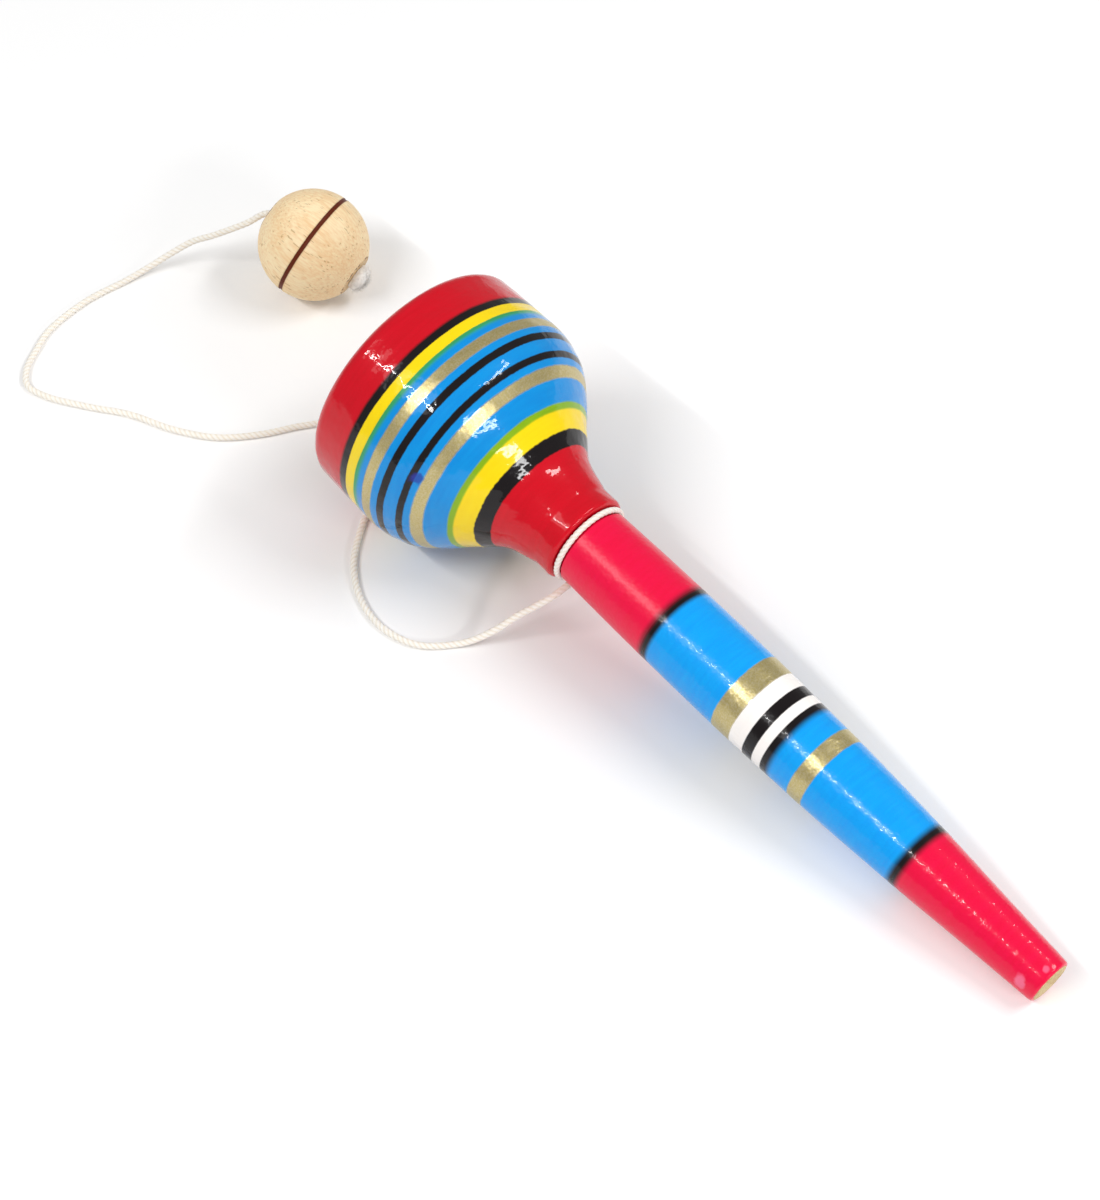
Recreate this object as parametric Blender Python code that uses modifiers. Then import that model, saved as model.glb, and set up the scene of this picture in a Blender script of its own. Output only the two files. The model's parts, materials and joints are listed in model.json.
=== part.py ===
"""Cup and ball: a turned wooden cup on a handle, with a wooden ball tied to it by a cotton string.

Metres, +Z up. The toy lies on a flat surface at z = 0. The stick rests on the swell of its cup and on
the edge of its tip, with the mouth towards -X, and the ball lies in front of the mouth.
"""
import math

import bmesh
import bpy
import numpy as np
from mathutils import Matrix, Vector

for old in list(bpy.data.objects):
    bpy.data.objects.remove(old, do_unlink=True)

MM = 0.001

# Fits: the gap between pieces that touch, and the play between pieces that run in each other
FIT_GAP = 0.3 * MM
BORE_PLAY = 0.6 * MM

# Cup: a neck that flares into a swell, a belt that draws in slightly, and a rounded rim
CUP_LENGTH = 59.8 * MM
CUP_RADIUS = 30.6 * MM
SWELL_HEIGHT = 39.7 * MM
RIM_TAPER = 0.5 * MM
RIM_EDGE = 3.0 * MM
RIM_FLAT = 1.8 * MM
MOUTH_EDGE = 0.8 * MM
MOUTH_WALL = 4.0 * MM
CUP_FLOOR = 7.3 * MM
NECK_RADIUS = 11.15 * MM
NECK_EDGE = 1.0 * MM
NECK_LENGTH = 5.0 * MM

# Handle: a long taper from a belly near the joint down to a small domed tip
HANDLE_LENGTH = 139.9 * MM
HANDLE_RADIUS = 10.05 * MM
HANDLE_END_RADIUS = 9.6 * MM
TIP_RADIUS = 5.5 * MM
TIP_DOME = 0.4 * MM
BELLY_FRACTION = 0.70
TENON_RADIUS = 6.0 * MM
TENON_LENGTH = 16.0 * MM
TENON_END_GAP = 0.5 * MM
TENON_CHAMFER = 0.8 * MM

# Ball: a turned bead with a burnt line round its middle and a flat at each end of its bore
BALL_RADIUS = 14.0 * MM
BALL_FLAT_RADIUS = 4.5 * MM
BURN_WIDTH = 1.1 * MM
BURN_DEPTH = 0.25 * MM
SINK_WIDTH = 1.0 * MM
SINK_DEPTH = 1.2 * MM

# String: one length, tied round the joint, led to the ball, and knotted behind it
STRING_DIAMETER = 1.6 * MM
GROOVE_DEPTH = 0.9 * MM
TIE_KNOT_RADIUS = 1.6 * MM
STOPPER_KNOT_RADIUS = 2.5 * MM

# String at the ball: it sags over the lip of the bore's mouth, then runs straight from a depth in the bore
LIP_REACH = 1.2 * MM
LIP_SAG = 1.4 * MM
THROAT_DEPTH = 0.9 * MM
THROAT_SAG = 0.15 * MM
STRAIGHT_DEPTH = 4.0 * MM

# Places on the surface: the neck's face on the stick's axis, the ball's centre, and its bore's aim
NECK_FACE_X = -0.91 * MM
STICK_Y = -3.1 * MM
BALL_X = -124.7 * MM
BALL_Y = 19.7 * MM
BORE_TURN = math.radians(17.8)
BORE_DIP = math.radians(22.9)
TIE_ANGLE = math.radians(10.0)

# Facets
TURNED_STEPS = 48
BALL_STEPS = 40
LOOP_POINTS = 24
ARC_POINTS = 4

# Route of the free string in millimetres, from the tie knot to the ball's bore
STRING_ROUTE_MM = [
    (-1.8, -12.3, 12.0), (-3.9, -16.0, 9.5), (-6.1, -19.7, 7.0), (-7.9, -23.6, 4.5),
    (-10.0, -27.4, 2.4), (-12.7, -31.3, 1.0), (-18.8, -38.3, 0.85), (-27.8, -41.0, 0.85),
    (-37.9, -39.2, 0.85), (-47.5, -33.2, 0.85), (-53.6, -26.1, 0.85), (-58.5, -19.1, 0.85),
    (-63.9, -12.4, 0.85), (-70.9, -6.6, 0.85), (-78.3, -5.0, 0.85), (-84.3, -8.0, 0.85),
    (-88.8, -14.3, 0.85), (-93.7, -23.9, 0.85), (-100.1, -32.3, 0.85), (-109.2, -38.4, 0.85),
    (-120.3, -43.1, 0.85), (-129.8, -49.3, 0.85), (-139.3, -54.6, 0.85), (-145.3, -55.8, 0.85),
    (-150.1, -52.6, 0.85), (-154.0, -46.8, 0.85), (-157.3, -40.4, 0.85), (-159.3, -27.4, 0.85),
    (-158.3, -15.6, 0.95), (-157.1, -8.6, 2.2), (-155.3, -2.9, 4.4), (-152.3, 2.0, 7.4),
    (-148.2, 5.5, 10.0), (-144.7, 8.7, 12.5), (-141.6, 12.0, 14.8),
]

STRING_RADIUS = STRING_DIAMETER / 2.0


def smooth_curve(points, samples):
    """Return samples along the cubic curve through points, evenly spaced by length."""
    knots = np.array(points, dtype=float)
    steps = np.sqrt(np.linalg.norm(np.diff(knots, axis=0), axis=1))
    times = np.concatenate([[0.0], np.cumsum(steps)])
    tangents = np.gradient(knots, times, axis=0)
    fine = []
    for index in range(len(knots) - 1):
        span = times[index + 1] - times[index]
        for t in np.linspace(0.0, 1.0, 40, endpoint=False):
            start = (1 + 2 * t) * (1 - t) ** 2 * knots[index] + t * (1 - t) ** 2 * span * tangents[index]
            end = t * t * (3 - 2 * t) * knots[index + 1] + t * t * (t - 1) * span * tangents[index + 1]
            fine.append(start + end)
    fine.append(knots[-1])
    fine = np.array(fine)
    lengths = np.concatenate([[0.0], np.cumsum(np.linalg.norm(np.diff(fine, axis=0), axis=1))])
    wanted = np.linspace(0.0, lengths[-1], samples)
    return np.column_stack([np.interp(wanted, lengths, fine[:, axis]) for axis in range(fine.shape[1])])


def turned_line(stations, samples):
    """Return (radius, height) points from the top down, on the curve through (height, radius) stations.

    The curve is level at a station where the radius stops growing, so no radius passes its station's.
    """
    heights, radii = np.array(stations, dtype=float).T
    spans = np.diff(heights)
    slopes = np.diff(radii) / spans
    tangents = np.concatenate([slopes[:1], np.zeros(len(slopes) - 1), slopes[-1:]])
    for index, (before, after) in enumerate(zip(slopes, slopes[1:]), start=1):
        if before * after > 0.0:
            tangents[index] = 2.0 * before * after / (before + after)
    line = []
    for height in np.linspace(heights[-1], heights[0], samples):
        index = min(max(int(np.searchsorted(heights, height)) - 1, 0), len(spans) - 1)
        t = (height - heights[index]) / spans[index]
        start = (1 + 2 * t) * (1 - t) ** 2 * radii[index] + t * (1 - t) ** 2 * spans[index] * tangents[index]
        end = t * t * (3 - 2 * t) * radii[index + 1] + t * t * (t - 1) * spans[index] * tangents[index + 1]
        line.append((start + end, height))
    return line


def arc(centre, radius, start_degrees, end_degrees, points=ARC_POINTS):
    """Return (radius, height) points on an arc about centre, both ends included."""
    angles = np.radians(np.linspace(start_degrees, end_degrees, points + 1))
    return [(centre[0] + radius * math.cos(a), centre[1] + radius * math.sin(a)) for a in angles]


def cup_profile():
    """Return the cup's profile from the bottom of its bowl over the rim, down its side and up its socket.

    Heights are measured along the stick from the edge of the tip.
    """
    face = HANDLE_LENGTH + FIT_GAP
    rim = face + CUP_LENGTH
    rim_radius = CUP_RADIUS - RIM_TAPER
    mouth_radius = rim_radius - RIM_EDGE - RIM_FLAT - MOUTH_EDGE
    socket_top = face + TENON_LENGTH + TENON_END_GAP
    bowl_bottom = socket_top + CUP_FLOOR
    bowl_top = rim - MOUTH_WALL
    bowl = []
    for angle in np.linspace(0.0, math.pi / 2.0, 11):
        height = bowl_top - (bowl_top - bowl_bottom) * math.cos(angle)
        bowl.append((mouth_radius * math.sin(angle), height))
    rim_inside = arc((mouth_radius + MOUTH_EDGE, rim - MOUTH_EDGE), MOUTH_EDGE, 180.0, 90.0)
    rim_outside = arc((rim_radius - RIM_EDGE, rim - RIM_EDGE), RIM_EDGE, 90.0, 0.0)
    swell = face + SWELL_HEIGHT
    neck_end = face + NECK_LENGTH
    flare = [(neck_end, NECK_RADIUS)]
    for along, out in ((0.22, 0.11), (0.43, 0.39), (0.62, 0.70), (0.80, 0.92)):
        height = neck_end + along * (swell - neck_end)
        flare.append((height, NECK_RADIUS + out * (CUP_RADIUS - NECK_RADIUS)))
    flare.append((swell, CUP_RADIUS))
    belt_end = rim - RIM_EDGE
    flare.append((swell + 0.5 * (belt_end - swell), CUP_RADIUS - 0.3 * RIM_TAPER))
    flare.append((belt_end, rim_radius))
    side = turned_line(flare, 25)
    neck = arc((NECK_RADIUS - NECK_EDGE, face + NECK_EDGE), NECK_EDGE, 0.0, -90.0)
    socket_radius = TENON_RADIUS + FIT_GAP
    socket = [(socket_radius, face), (socket_radius, socket_top), (0.0, socket_top)]
    return bowl + rim_inside + rim_outside + side[1:] + neck + socket


def handle_profile():
    """Return the handle's profile from the end of its tenon down its side to its tip."""
    shoulder = HANDLE_LENGTH
    tenon_top = shoulder + FIT_GAP + TENON_LENGTH
    groove_radius = HANDLE_END_RADIUS - GROOVE_DEPTH
    groove_start = shoulder - STRING_DIAMETER - FIT_GAP
    tenon = [
        (0.0, tenon_top),
        (TENON_RADIUS - TENON_CHAMFER, tenon_top),
        (TENON_RADIUS, tenon_top - TENON_CHAMFER),
        (TENON_RADIUS, shoulder),
        (groove_radius, shoulder),
        (groove_radius, groove_start),
    ]
    belly = BELLY_FRACTION * groove_start
    stations = [(0.0, TIP_RADIUS)]
    for along, out in ((0.19, 0.26), (0.38, 0.55), (0.69, 0.87)):
        stations.append((along * belly, TIP_RADIUS + out * (HANDLE_RADIUS - TIP_RADIUS)))
    stations.append((belly, HANDLE_RADIUS))
    stations.append((0.5 * (belly + groove_start), HANDLE_RADIUS - 0.2 * (HANDLE_RADIUS - HANDLE_END_RADIUS)))
    stations.append((groove_start, HANDLE_END_RADIUS))
    side = turned_line(stations, 17)
    dome = []
    for angle in np.linspace(0.0, math.pi / 2.0, 5)[1:]:
        dome.append((TIP_RADIUS * math.cos(angle), -TIP_DOME * math.sin(angle)))
    dome[-1] = (0.0, -TIP_DOME)
    return tenon + side + dome


def ball_profile():
    """Return the ball's closed profile: end flat, side with its burnt line, end flat and bore."""
    bore = STRING_RADIUS + BORE_PLAY
    mouth = bore + SINK_WIDTH
    flat = math.sqrt(BALL_RADIUS ** 2 - BALL_FLAT_RADIUS ** 2)
    top_angle = math.degrees(math.asin(flat / BALL_RADIUS))
    line_angle = math.degrees(math.asin(0.5 * BURN_WIDTH / BALL_RADIUS))
    upper = arc((0.0, 0.0), BALL_RADIUS, top_angle, line_angle, 9)
    lower = [(radius, -height) for radius, height in reversed(upper)]
    line = [(BALL_RADIUS - BURN_DEPTH, 0.0)]
    top = [(bore, flat - SINK_DEPTH), (mouth, flat)]
    bottom = [(mouth, -flat), (bore, SINK_DEPTH - flat)]
    return top + upper + line + lower + bottom


def linear(colour):
    """Return an sRGB colour with values from 0 to 255 as linear RGBA."""
    shares = [value / 255.0 for value in colour]
    return [s / 12.92 if s <= 0.04045 else ((s + 0.055) / 1.055) ** 2.4 for s in shares] + [1.0]


def finish(name, colour, roughness, coat=0.0):
    """Return a Principled material."""
    material = bpy.data.materials.new(name)
    material.use_nodes = True
    shader = material.node_tree.nodes["Principled BSDF"]
    shader.inputs["Base Color"].default_value = linear(colour)
    shader.inputs["Roughness"].default_value = roughness
    shader.inputs["Metallic"].default_value = 0.0
    shader.inputs["Coat Weight"].default_value = coat
    material.diffuse_color = linear(colour)
    return material


toy = bpy.data.collections.new("cup_and_ball")
bpy.context.scene.collection.children.link(toy)


def turned(name, profile, steps, material, closed=False):
    """Add a solid turned about its own Z axis from a profile of (radius, height) points."""
    mesh = bpy.data.meshes.new(name)
    vertices = [(radius, 0.0, height) for radius, height in profile]
    edges = [(index, index + 1) for index in range(len(profile) - 1)]
    if closed:
        edges.append((len(profile) - 1, 0))
    mesh.from_pydata(vertices, edges, [])
    mesh.materials.append(material)
    piece = bpy.data.objects.new(name, mesh)
    toy.objects.link(piece)
    screw = piece.modifiers.new("Turn", "SCREW")
    screw.axis = "Z"
    screw.angle = 2.0 * math.pi
    screw.steps = steps
    screw.render_steps = steps
    screw.use_merge_vertices = True
    screw.merge_threshold = 0.000002
    screw.use_smooth_shade = True
    return piece


def cord(name, points, radius, sides, material, origin):
    """Add a round tube along points, with its own origin."""
    curve = bpy.data.curves.new(name, "CURVE")
    curve.dimensions = "3D"
    curve.bevel_depth = radius
    curve.bevel_resolution = sides
    curve.use_fill_caps = True
    spline = curve.splines.new("POLY")
    spline.points.add(len(points) - 1)
    for spot, place in zip(spline.points, points):
        spot.co = (*(Vector(place) - origin), 1.0)
    curve.materials.append(material)
    piece = bpy.data.objects.new(name, curve)
    piece.location = origin
    toy.objects.link(piece)
    return piece


def lump(name, centre, radius, axis, material):
    """Add a round knot: a small sphere whose poles lie on axis."""
    mesh = bpy.data.meshes.new(name)
    form = bmesh.new()
    bmesh.ops.create_uvsphere(form, u_segments=16, v_segments=10, radius=radius)
    form.to_mesh(mesh)
    form.free()
    mesh.materials.append(material)
    mesh.shade_smooth()
    piece = bpy.data.objects.new(name, mesh)
    piece.matrix_world = Matrix.Translation(centre) @ axis.to_track_quat("Z", "Y").to_matrix().to_4x4()
    toy.objects.link(piece)
    return piece


# Stick: the tilt at which the tip's edge and the cup's swell both touch the surface
cup_line = cup_profile()
handle_line = handle_profile()
slope = max((radius - TIP_RADIUS) / height for radius, height in cup_line + handle_line if height > 0.0)
tilt = math.atan(slope)
along = Vector((-math.cos(tilt), 0.0, math.sin(tilt)))
above = Vector((math.sin(tilt), 0.0, math.cos(tilt)))
across = Vector((0.0, 1.0, 0.0))
tip_x = NECK_FACE_X + (HANDLE_LENGTH + FIT_GAP) * math.cos(tilt)
tip = Vector((tip_x, STICK_Y, TIP_RADIUS * math.cos(tilt)))
stick_place = Matrix.Translation(tip) @ Matrix((above, across, along)).transposed().to_4x4()

cup = turned("cup", cup_line, TURNED_STEPS, finish("cup_lacquer", (205, 20, 38), 0.25, 1.0))
cup.matrix_world = stick_place
handle = turned("handle", handle_line, TURNED_STEPS, finish("handle_lacquer", (226, 40, 72), 0.28, 1.0))
handle.matrix_world = stick_place

# Ball: it lies on the surface with its bore aimed at the cup's mouth, dipping towards its knot
bore_aim = Vector((
    math.cos(BORE_DIP) * math.cos(BORE_TURN),
    math.cos(BORE_DIP) * math.sin(BORE_TURN),
    -math.sin(BORE_DIP),
))
ball_centre = Vector((BALL_X, BALL_Y, BALL_RADIUS))
ball = turned("ball", ball_profile(), BALL_STEPS, finish("bare_wood", (226, 196, 148), 0.55), closed=True)
ball.matrix_world = Matrix.Translation(ball_centre) @ (-bore_aim).to_track_quat("Z", "Y").to_matrix().to_4x4()

# Tie knot: it sits on the rounded end of the neck, clear of the handle, on the low front side
loop_height = HANDLE_LENGTH - STRING_RADIUS
loop_radius = HANDLE_END_RADIUS - GROOVE_DEPTH + FIT_GAP + STRING_RADIUS
seat_reach = TIE_KNOT_RADIUS + NECK_EDGE + FIT_GAP
seat_step = STRING_RADIUS + FIT_GAP + NECK_EDGE
seat_rise = math.sqrt(max(seat_reach ** 2 - seat_step ** 2, 0.0))
knot_radius = max(
    NECK_RADIUS - NECK_EDGE + seat_rise,
    HANDLE_END_RADIUS + FIT_GAP + TIE_KNOT_RADIUS,
    loop_radius + TIE_KNOT_RADIUS,
)
loop_centre = tip + along * loop_height
tie_side = -(above * math.cos(TIE_ANGLE) + across * math.sin(TIE_ANGLE))
tie_centre = loop_centre + tie_side * knot_radius
cotton = (232, 224, 208)
lump("tie_knot", tie_centre, TIE_KNOT_RADIUS, tie_side, finish("tie_knot_cotton", cotton, 0.9))

# Collar: one turn of string in the groove, whose ends leave it straight for the tie knot
tie_turn = along.cross(tie_side)
lift_angle = math.acos(loop_radius / knot_radius)
loop_points = []
for angle in np.linspace(lift_angle, 2.0 * math.pi - lift_angle, LOOP_POINTS):
    loop_points.append(loop_centre + loop_radius * (tie_side * math.cos(angle) + tie_turn * math.sin(angle)))
end_gap = TIE_KNOT_RADIUS + FIT_GAP
loop_start = tie_centre + (loop_points[0] - tie_centre).normalized() * end_gap
loop_end = tie_centre + (loop_points[-1] - tie_centre).normalized() * end_gap
loop_points = [loop_start] + loop_points + [loop_end]
cord("string_collar", loop_points, STRING_RADIUS, 1, finish("collar_cotton", cotton, 0.9), loop_centre)
collar_gap = (loop_start - loop_end).length - STRING_DIAMETER
print(f"string_collar: least gap to itself {collar_gap / MM:.2f} mm")

# Stopper knot: it sits in the sunk mouth of the bore, on the ball's side towards the cup
sink_radius = STRING_RADIUS + BORE_PLAY + SINK_WIDTH
flat_height = math.sqrt(BALL_RADIUS ** 2 - BALL_FLAT_RADIUS ** 2)
stopper_rise = math.sqrt((STOPPER_KNOT_RADIUS + FIT_GAP) ** 2 - sink_radius ** 2)
stopper_centre = ball_centre + bore_aim * (flat_height + stopper_rise)
lump("stopper_knot", stopper_centre, STOPPER_KNOT_RADIUS, bore_aim, finish("stopper_cotton", cotton, 0.9))

# Free string: from the tie knot over the surface, then up to the ball and through its bore
route = [Vector(place) * MM for place in STRING_ROUTE_MM]
string_start = tie_centre + (route[0] - tie_centre).normalized() * end_gap
mouth_centre = ball_centre - bore_aim * flat_height
sag = (bore_aim * bore_aim.z - Vector((0.0, 0.0, 1.0))).normalized()
lip = mouth_centre - bore_aim * LIP_REACH + sag * LIP_SAG
throat = mouth_centre + bore_aim * THROAT_DEPTH + sag * THROAT_SAG
straight = mouth_centre + bore_aim * STRAIGHT_DEPTH
free_points = smooth_curve([string_start] + route + [lip, throat, straight], 78)
string_end = stopper_centre - bore_aim * (STOPPER_KNOT_RADIUS + FIT_GAP)
string_points = [Vector(place) for place in free_points] + [string_end]
cord("string", string_points, STRING_RADIUS, 2, finish("string_cotton", cotton, 0.9), tie_centre)

# Measured results
bpy.context.view_layer.update()
string_length = sum((b - a).length for a, b in zip(string_points, string_points[1:]))
lowest_point = min(place.z for place in string_points)
print(f"string: {string_length / MM:.1f} mm long, lowest centre {lowest_point / MM:.2f} mm")
print("tilt", round(math.degrees(tilt), 3), "tip", [round(v, 6) for v in tip])
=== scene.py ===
"""Looks of the cup and ball: ring-painted lacquer, bare turned wood and laid cotton string.

Metres, +Z up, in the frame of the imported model. The toy lies on a pale table under soft studio light.
"""
import json
import logging
import math
from collections.abc import Callable, Sequence
from dataclasses import dataclass, field
from enum import Enum

import bpy
import numpy as np
from mathutils import Matrix, Vector


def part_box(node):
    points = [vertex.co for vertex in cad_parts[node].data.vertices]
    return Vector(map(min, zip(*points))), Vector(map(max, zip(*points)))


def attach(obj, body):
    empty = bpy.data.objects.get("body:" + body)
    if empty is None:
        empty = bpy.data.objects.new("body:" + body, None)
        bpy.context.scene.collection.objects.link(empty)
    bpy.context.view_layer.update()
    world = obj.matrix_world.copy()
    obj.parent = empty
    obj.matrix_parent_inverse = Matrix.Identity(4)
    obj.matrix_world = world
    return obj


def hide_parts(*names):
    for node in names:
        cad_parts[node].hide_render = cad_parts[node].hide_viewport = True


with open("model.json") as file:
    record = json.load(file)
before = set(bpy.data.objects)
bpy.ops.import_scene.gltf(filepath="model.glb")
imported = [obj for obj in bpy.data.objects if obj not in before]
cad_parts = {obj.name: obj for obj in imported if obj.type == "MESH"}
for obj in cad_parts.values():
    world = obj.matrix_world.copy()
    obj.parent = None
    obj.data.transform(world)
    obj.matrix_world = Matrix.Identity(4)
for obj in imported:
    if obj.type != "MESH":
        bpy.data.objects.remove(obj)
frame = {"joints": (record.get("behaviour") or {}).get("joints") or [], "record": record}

LOG = logging.getLogger("cup_and_ball")
MM = 0.001
FULL_TURN = 2.0 * math.pi
PHASES = 6.28
SHARP_EDGE = math.radians(38.0)
LAY = "lay"
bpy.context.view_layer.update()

Profile = list[tuple[float, float]]
Faces = list[tuple[int, ...]]
Ripple = Callable[[np.ndarray, np.ndarray], np.ndarray]
Wire = bpy.types.NodeSocket
Feed = Wire | float | Sequence[float]


class Paint(Enum):
    """Colours of the paints, woods and yarns, as sRGB values from 0 to 255."""

    CUP_RED = (205, 4, 29)
    HANDLE_RED = (235, 9, 67)
    CUP_BLUE = (2, 144, 218)
    BLUE = (9, 162, 241)
    YELLOW = (246, 216, 8)
    GREEN = (136, 178, 20)
    SEA_GREEN = (52, 160, 96)
    GOLD = (190, 174, 114)
    WHITE = (252, 247, 243)
    BLACK = (20, 14, 16)
    VIOLET = (28, 44, 156)
    MILK = (250, 148, 186)
    PALE_WOOD = (253, 232, 190)
    TAN_WOOD = (243, 206, 156)
    PORE_BROWN = (188, 150, 100)
    BURNT = (98, 34, 8)
    END_GRAIN = (224, 206, 158)
    COTTON = (255, 249, 239)
    # Painted shade: the colour the string's furrows between strands take, standing in for the shade that
    # falls there.
    COTTON_PAINTED_SHADE = (242, 231, 213)
    COTTON_FLUFF = (255, 253, 249)
    TABLE = (240, 240, 240)

    @property
    def linear(self) -> tuple[float, float, float, float]:
        """Convert the colour.

        Returns:
            The colour as linear RGBA.
        """
        shares = [value / 255.0 for value in self.value]
        red, green, blue = (s / 12.92 if s <= 0.04045 else ((s + 0.055) / 1.055) ** 2.4 for s in shares)
        return (red, green, blue, 1.0)


class Sheen(Enum):
    """How a paint takes light: its metallic value."""

    ENAMEL = 0.0
    BRONZE = 0.7


@dataclass(frozen=True)
class Ring:
    """A painted ring round the stick.

    Args:
        start: Distance of its lower edge from the tip, in metres.
        end: Distance of its upper edge from the tip.
        paint: Its colour.
        soft_start: Width over which its lower edge fades.
        soft_end: Width over which its upper edge fades.
        sheen: How it takes light.
        ragged: How far its edges fray.
    """

    start: float
    end: float
    paint: Paint
    soft_start: float = 0.3 * MM
    soft_end: float = 0.3 * MM
    sheen: Sheen = Sheen.ENAMEL
    ragged: float = 0.03 * MM


@dataclass(frozen=True)
class Smear:
    """A blot of another colour on the lacquer.

    Args:
        place: Its middle, in the frame.
        reach: Its radius.
        paint: Its colour.
        strength: How much it covers.
    """

    place: tuple[float, float, float]
    reach: float
    paint: Paint
    strength: float


@dataclass(frozen=True)
class Axis:
    """A straight axis of a turned piece.

    Args:
        origin: Point where heights along the axis start.
        along: Unit vector of growing height.
        above: Unit vector across the axis, from which angles are counted.
    """

    origin: Vector
    along: Vector
    above: Vector

    @property
    def matrix(self) -> Matrix:
        """Find the placement of a piece that is turned about its own Z axis.

        Returns:
            The placement.
        """
        across = self.along.cross(self.above)
        turn = Matrix((self.above, across, self.along)).transposed().to_4x4()
        return Matrix.Translation(self.origin) @ turn


class Graph:
    """A node tree with short calls for adding and linking its nodes."""

    def __init__(self, tree: bpy.types.NodeTree) -> None:
        """Keep the tree that nodes are added to."""
        self.tree = tree

    def add(
        self, kind: str, inputs: dict[int | str, Feed] | None = None, **settings: object
    ) -> bpy.types.Node:
        """Add a node.

        Args:
            kind: Its type name.
            inputs: What goes into its sockets, by their numbers or names.
            settings: Values of its own properties.

        Returns:
            The node.
        """
        node = self.tree.nodes.new(kind)
        for name, value in settings.items():
            setattr(node, name, value)
        for socket, value in (inputs or {}).items():
            self.feed(node.inputs[socket], value)
        return node

    def feed(self, socket: Wire, value: Feed) -> None:
        """Link a socket to another one, or set its constant.

        Args:
            socket: The socket.
            value: The other socket, or the constant.
        """
        if isinstance(value, bpy.types.NodeSocket):
            self.tree.links.new(value, socket)
        else:
            socket.default_value = value

    def math(self, operation: str, first: Feed, second: Feed = 0.0, clamp: bool = False) -> Wire:
        """Return the result of a Math node on two values."""
        inputs = {0: first, 1: second}
        return self.add("ShaderNodeMath", inputs, operation=operation, use_clamp=clamp).outputs[0]

    def plus(self, first: Feed, second: Feed) -> Wire:
        """Return the sum of two values."""
        return self.math("ADD", first, second)

    def minus(self, first: Feed, second: Feed) -> Wire:
        """Return the first value less the second."""
        return self.math("SUBTRACT", first, second)

    def times(self, first: Feed, second: Feed) -> Wire:
        """Return the product of two values."""
        return self.math("MULTIPLY", first, second)

    def vector(self, operation: str, first: Feed, second: Feed) -> Wire:
        """Return the vector that a Vector Math node makes of two vectors."""
        return self.add("ShaderNodeVectorMath", {0: first, 1: second}, operation=operation).outputs["Vector"]

    def measure(self, operation: str, first: Feed, second: Feed = (0.0, 0.0, 0.0)) -> Wire:
        """Return the value that a Vector Math node makes of two vectors."""
        return self.add("ShaderNodeVectorMath", {0: first, 1: second}, operation=operation).outputs["Value"]

    def scale(self, vector: Feed, factor: Feed) -> Wire:
        """Return a vector times a factor."""
        inputs = {0: vector, "Scale": factor}
        return self.add("ShaderNodeVectorMath", inputs, operation="SCALE").outputs["Vector"]

    def ease(self, value: Feed, low: Feed, high: Feed) -> Wire:
        """Return 0 below low, 1 above high and a smooth step between them."""
        inputs = {"Value": value, "From Min": low, "From Max": high}
        return self.add("ShaderNodeMapRange", inputs, interpolation_type="SMOOTHSTEP").outputs["Result"]

    def mix(self, factor: Feed, first: Feed, second: Feed, blend_type: str = "MIX") -> Wire:
        """Return a colour between two colours."""
        inputs = {0: factor, 6: first, 7: second}
        return self.add("ShaderNodeMix", inputs, data_type="RGBA", blend_type=blend_type).outputs[2]

    def blend(self, factor: Feed, first: Feed, second: Feed) -> Wire:
        """Return a value between two values."""
        return self.add("ShaderNodeMix", {0: factor, 2: first, 3: second}, data_type="FLOAT").outputs[0]

    def noise(self, place: Feed, rate: Feed, detail: float = 2.0, output: str = "Fac") -> Wire:
        """Return a noise of some waves per metre, as a value or as the three values of a colour."""
        inputs = {"Vector": place, "Scale": rate, "Detail": detail}
        return self.add("ShaderNodeTexNoise", inputs, noise_dimensions="3D").outputs[output]

    def place_group(self, group: bpy.types.NodeTree, **inputs: Feed) -> dict[str, Wire]:
        """Place a node group.

        Args:
            group: The group.
            inputs: What goes into its inputs, by their names with _ for a space.

        Returns:
            Its outputs by name.
        """
        named = {name.replace("_", " "): value for name, value in inputs.items()}
        return dict(self.add("ShaderNodeGroup", named, node_tree=group).outputs.items())


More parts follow.
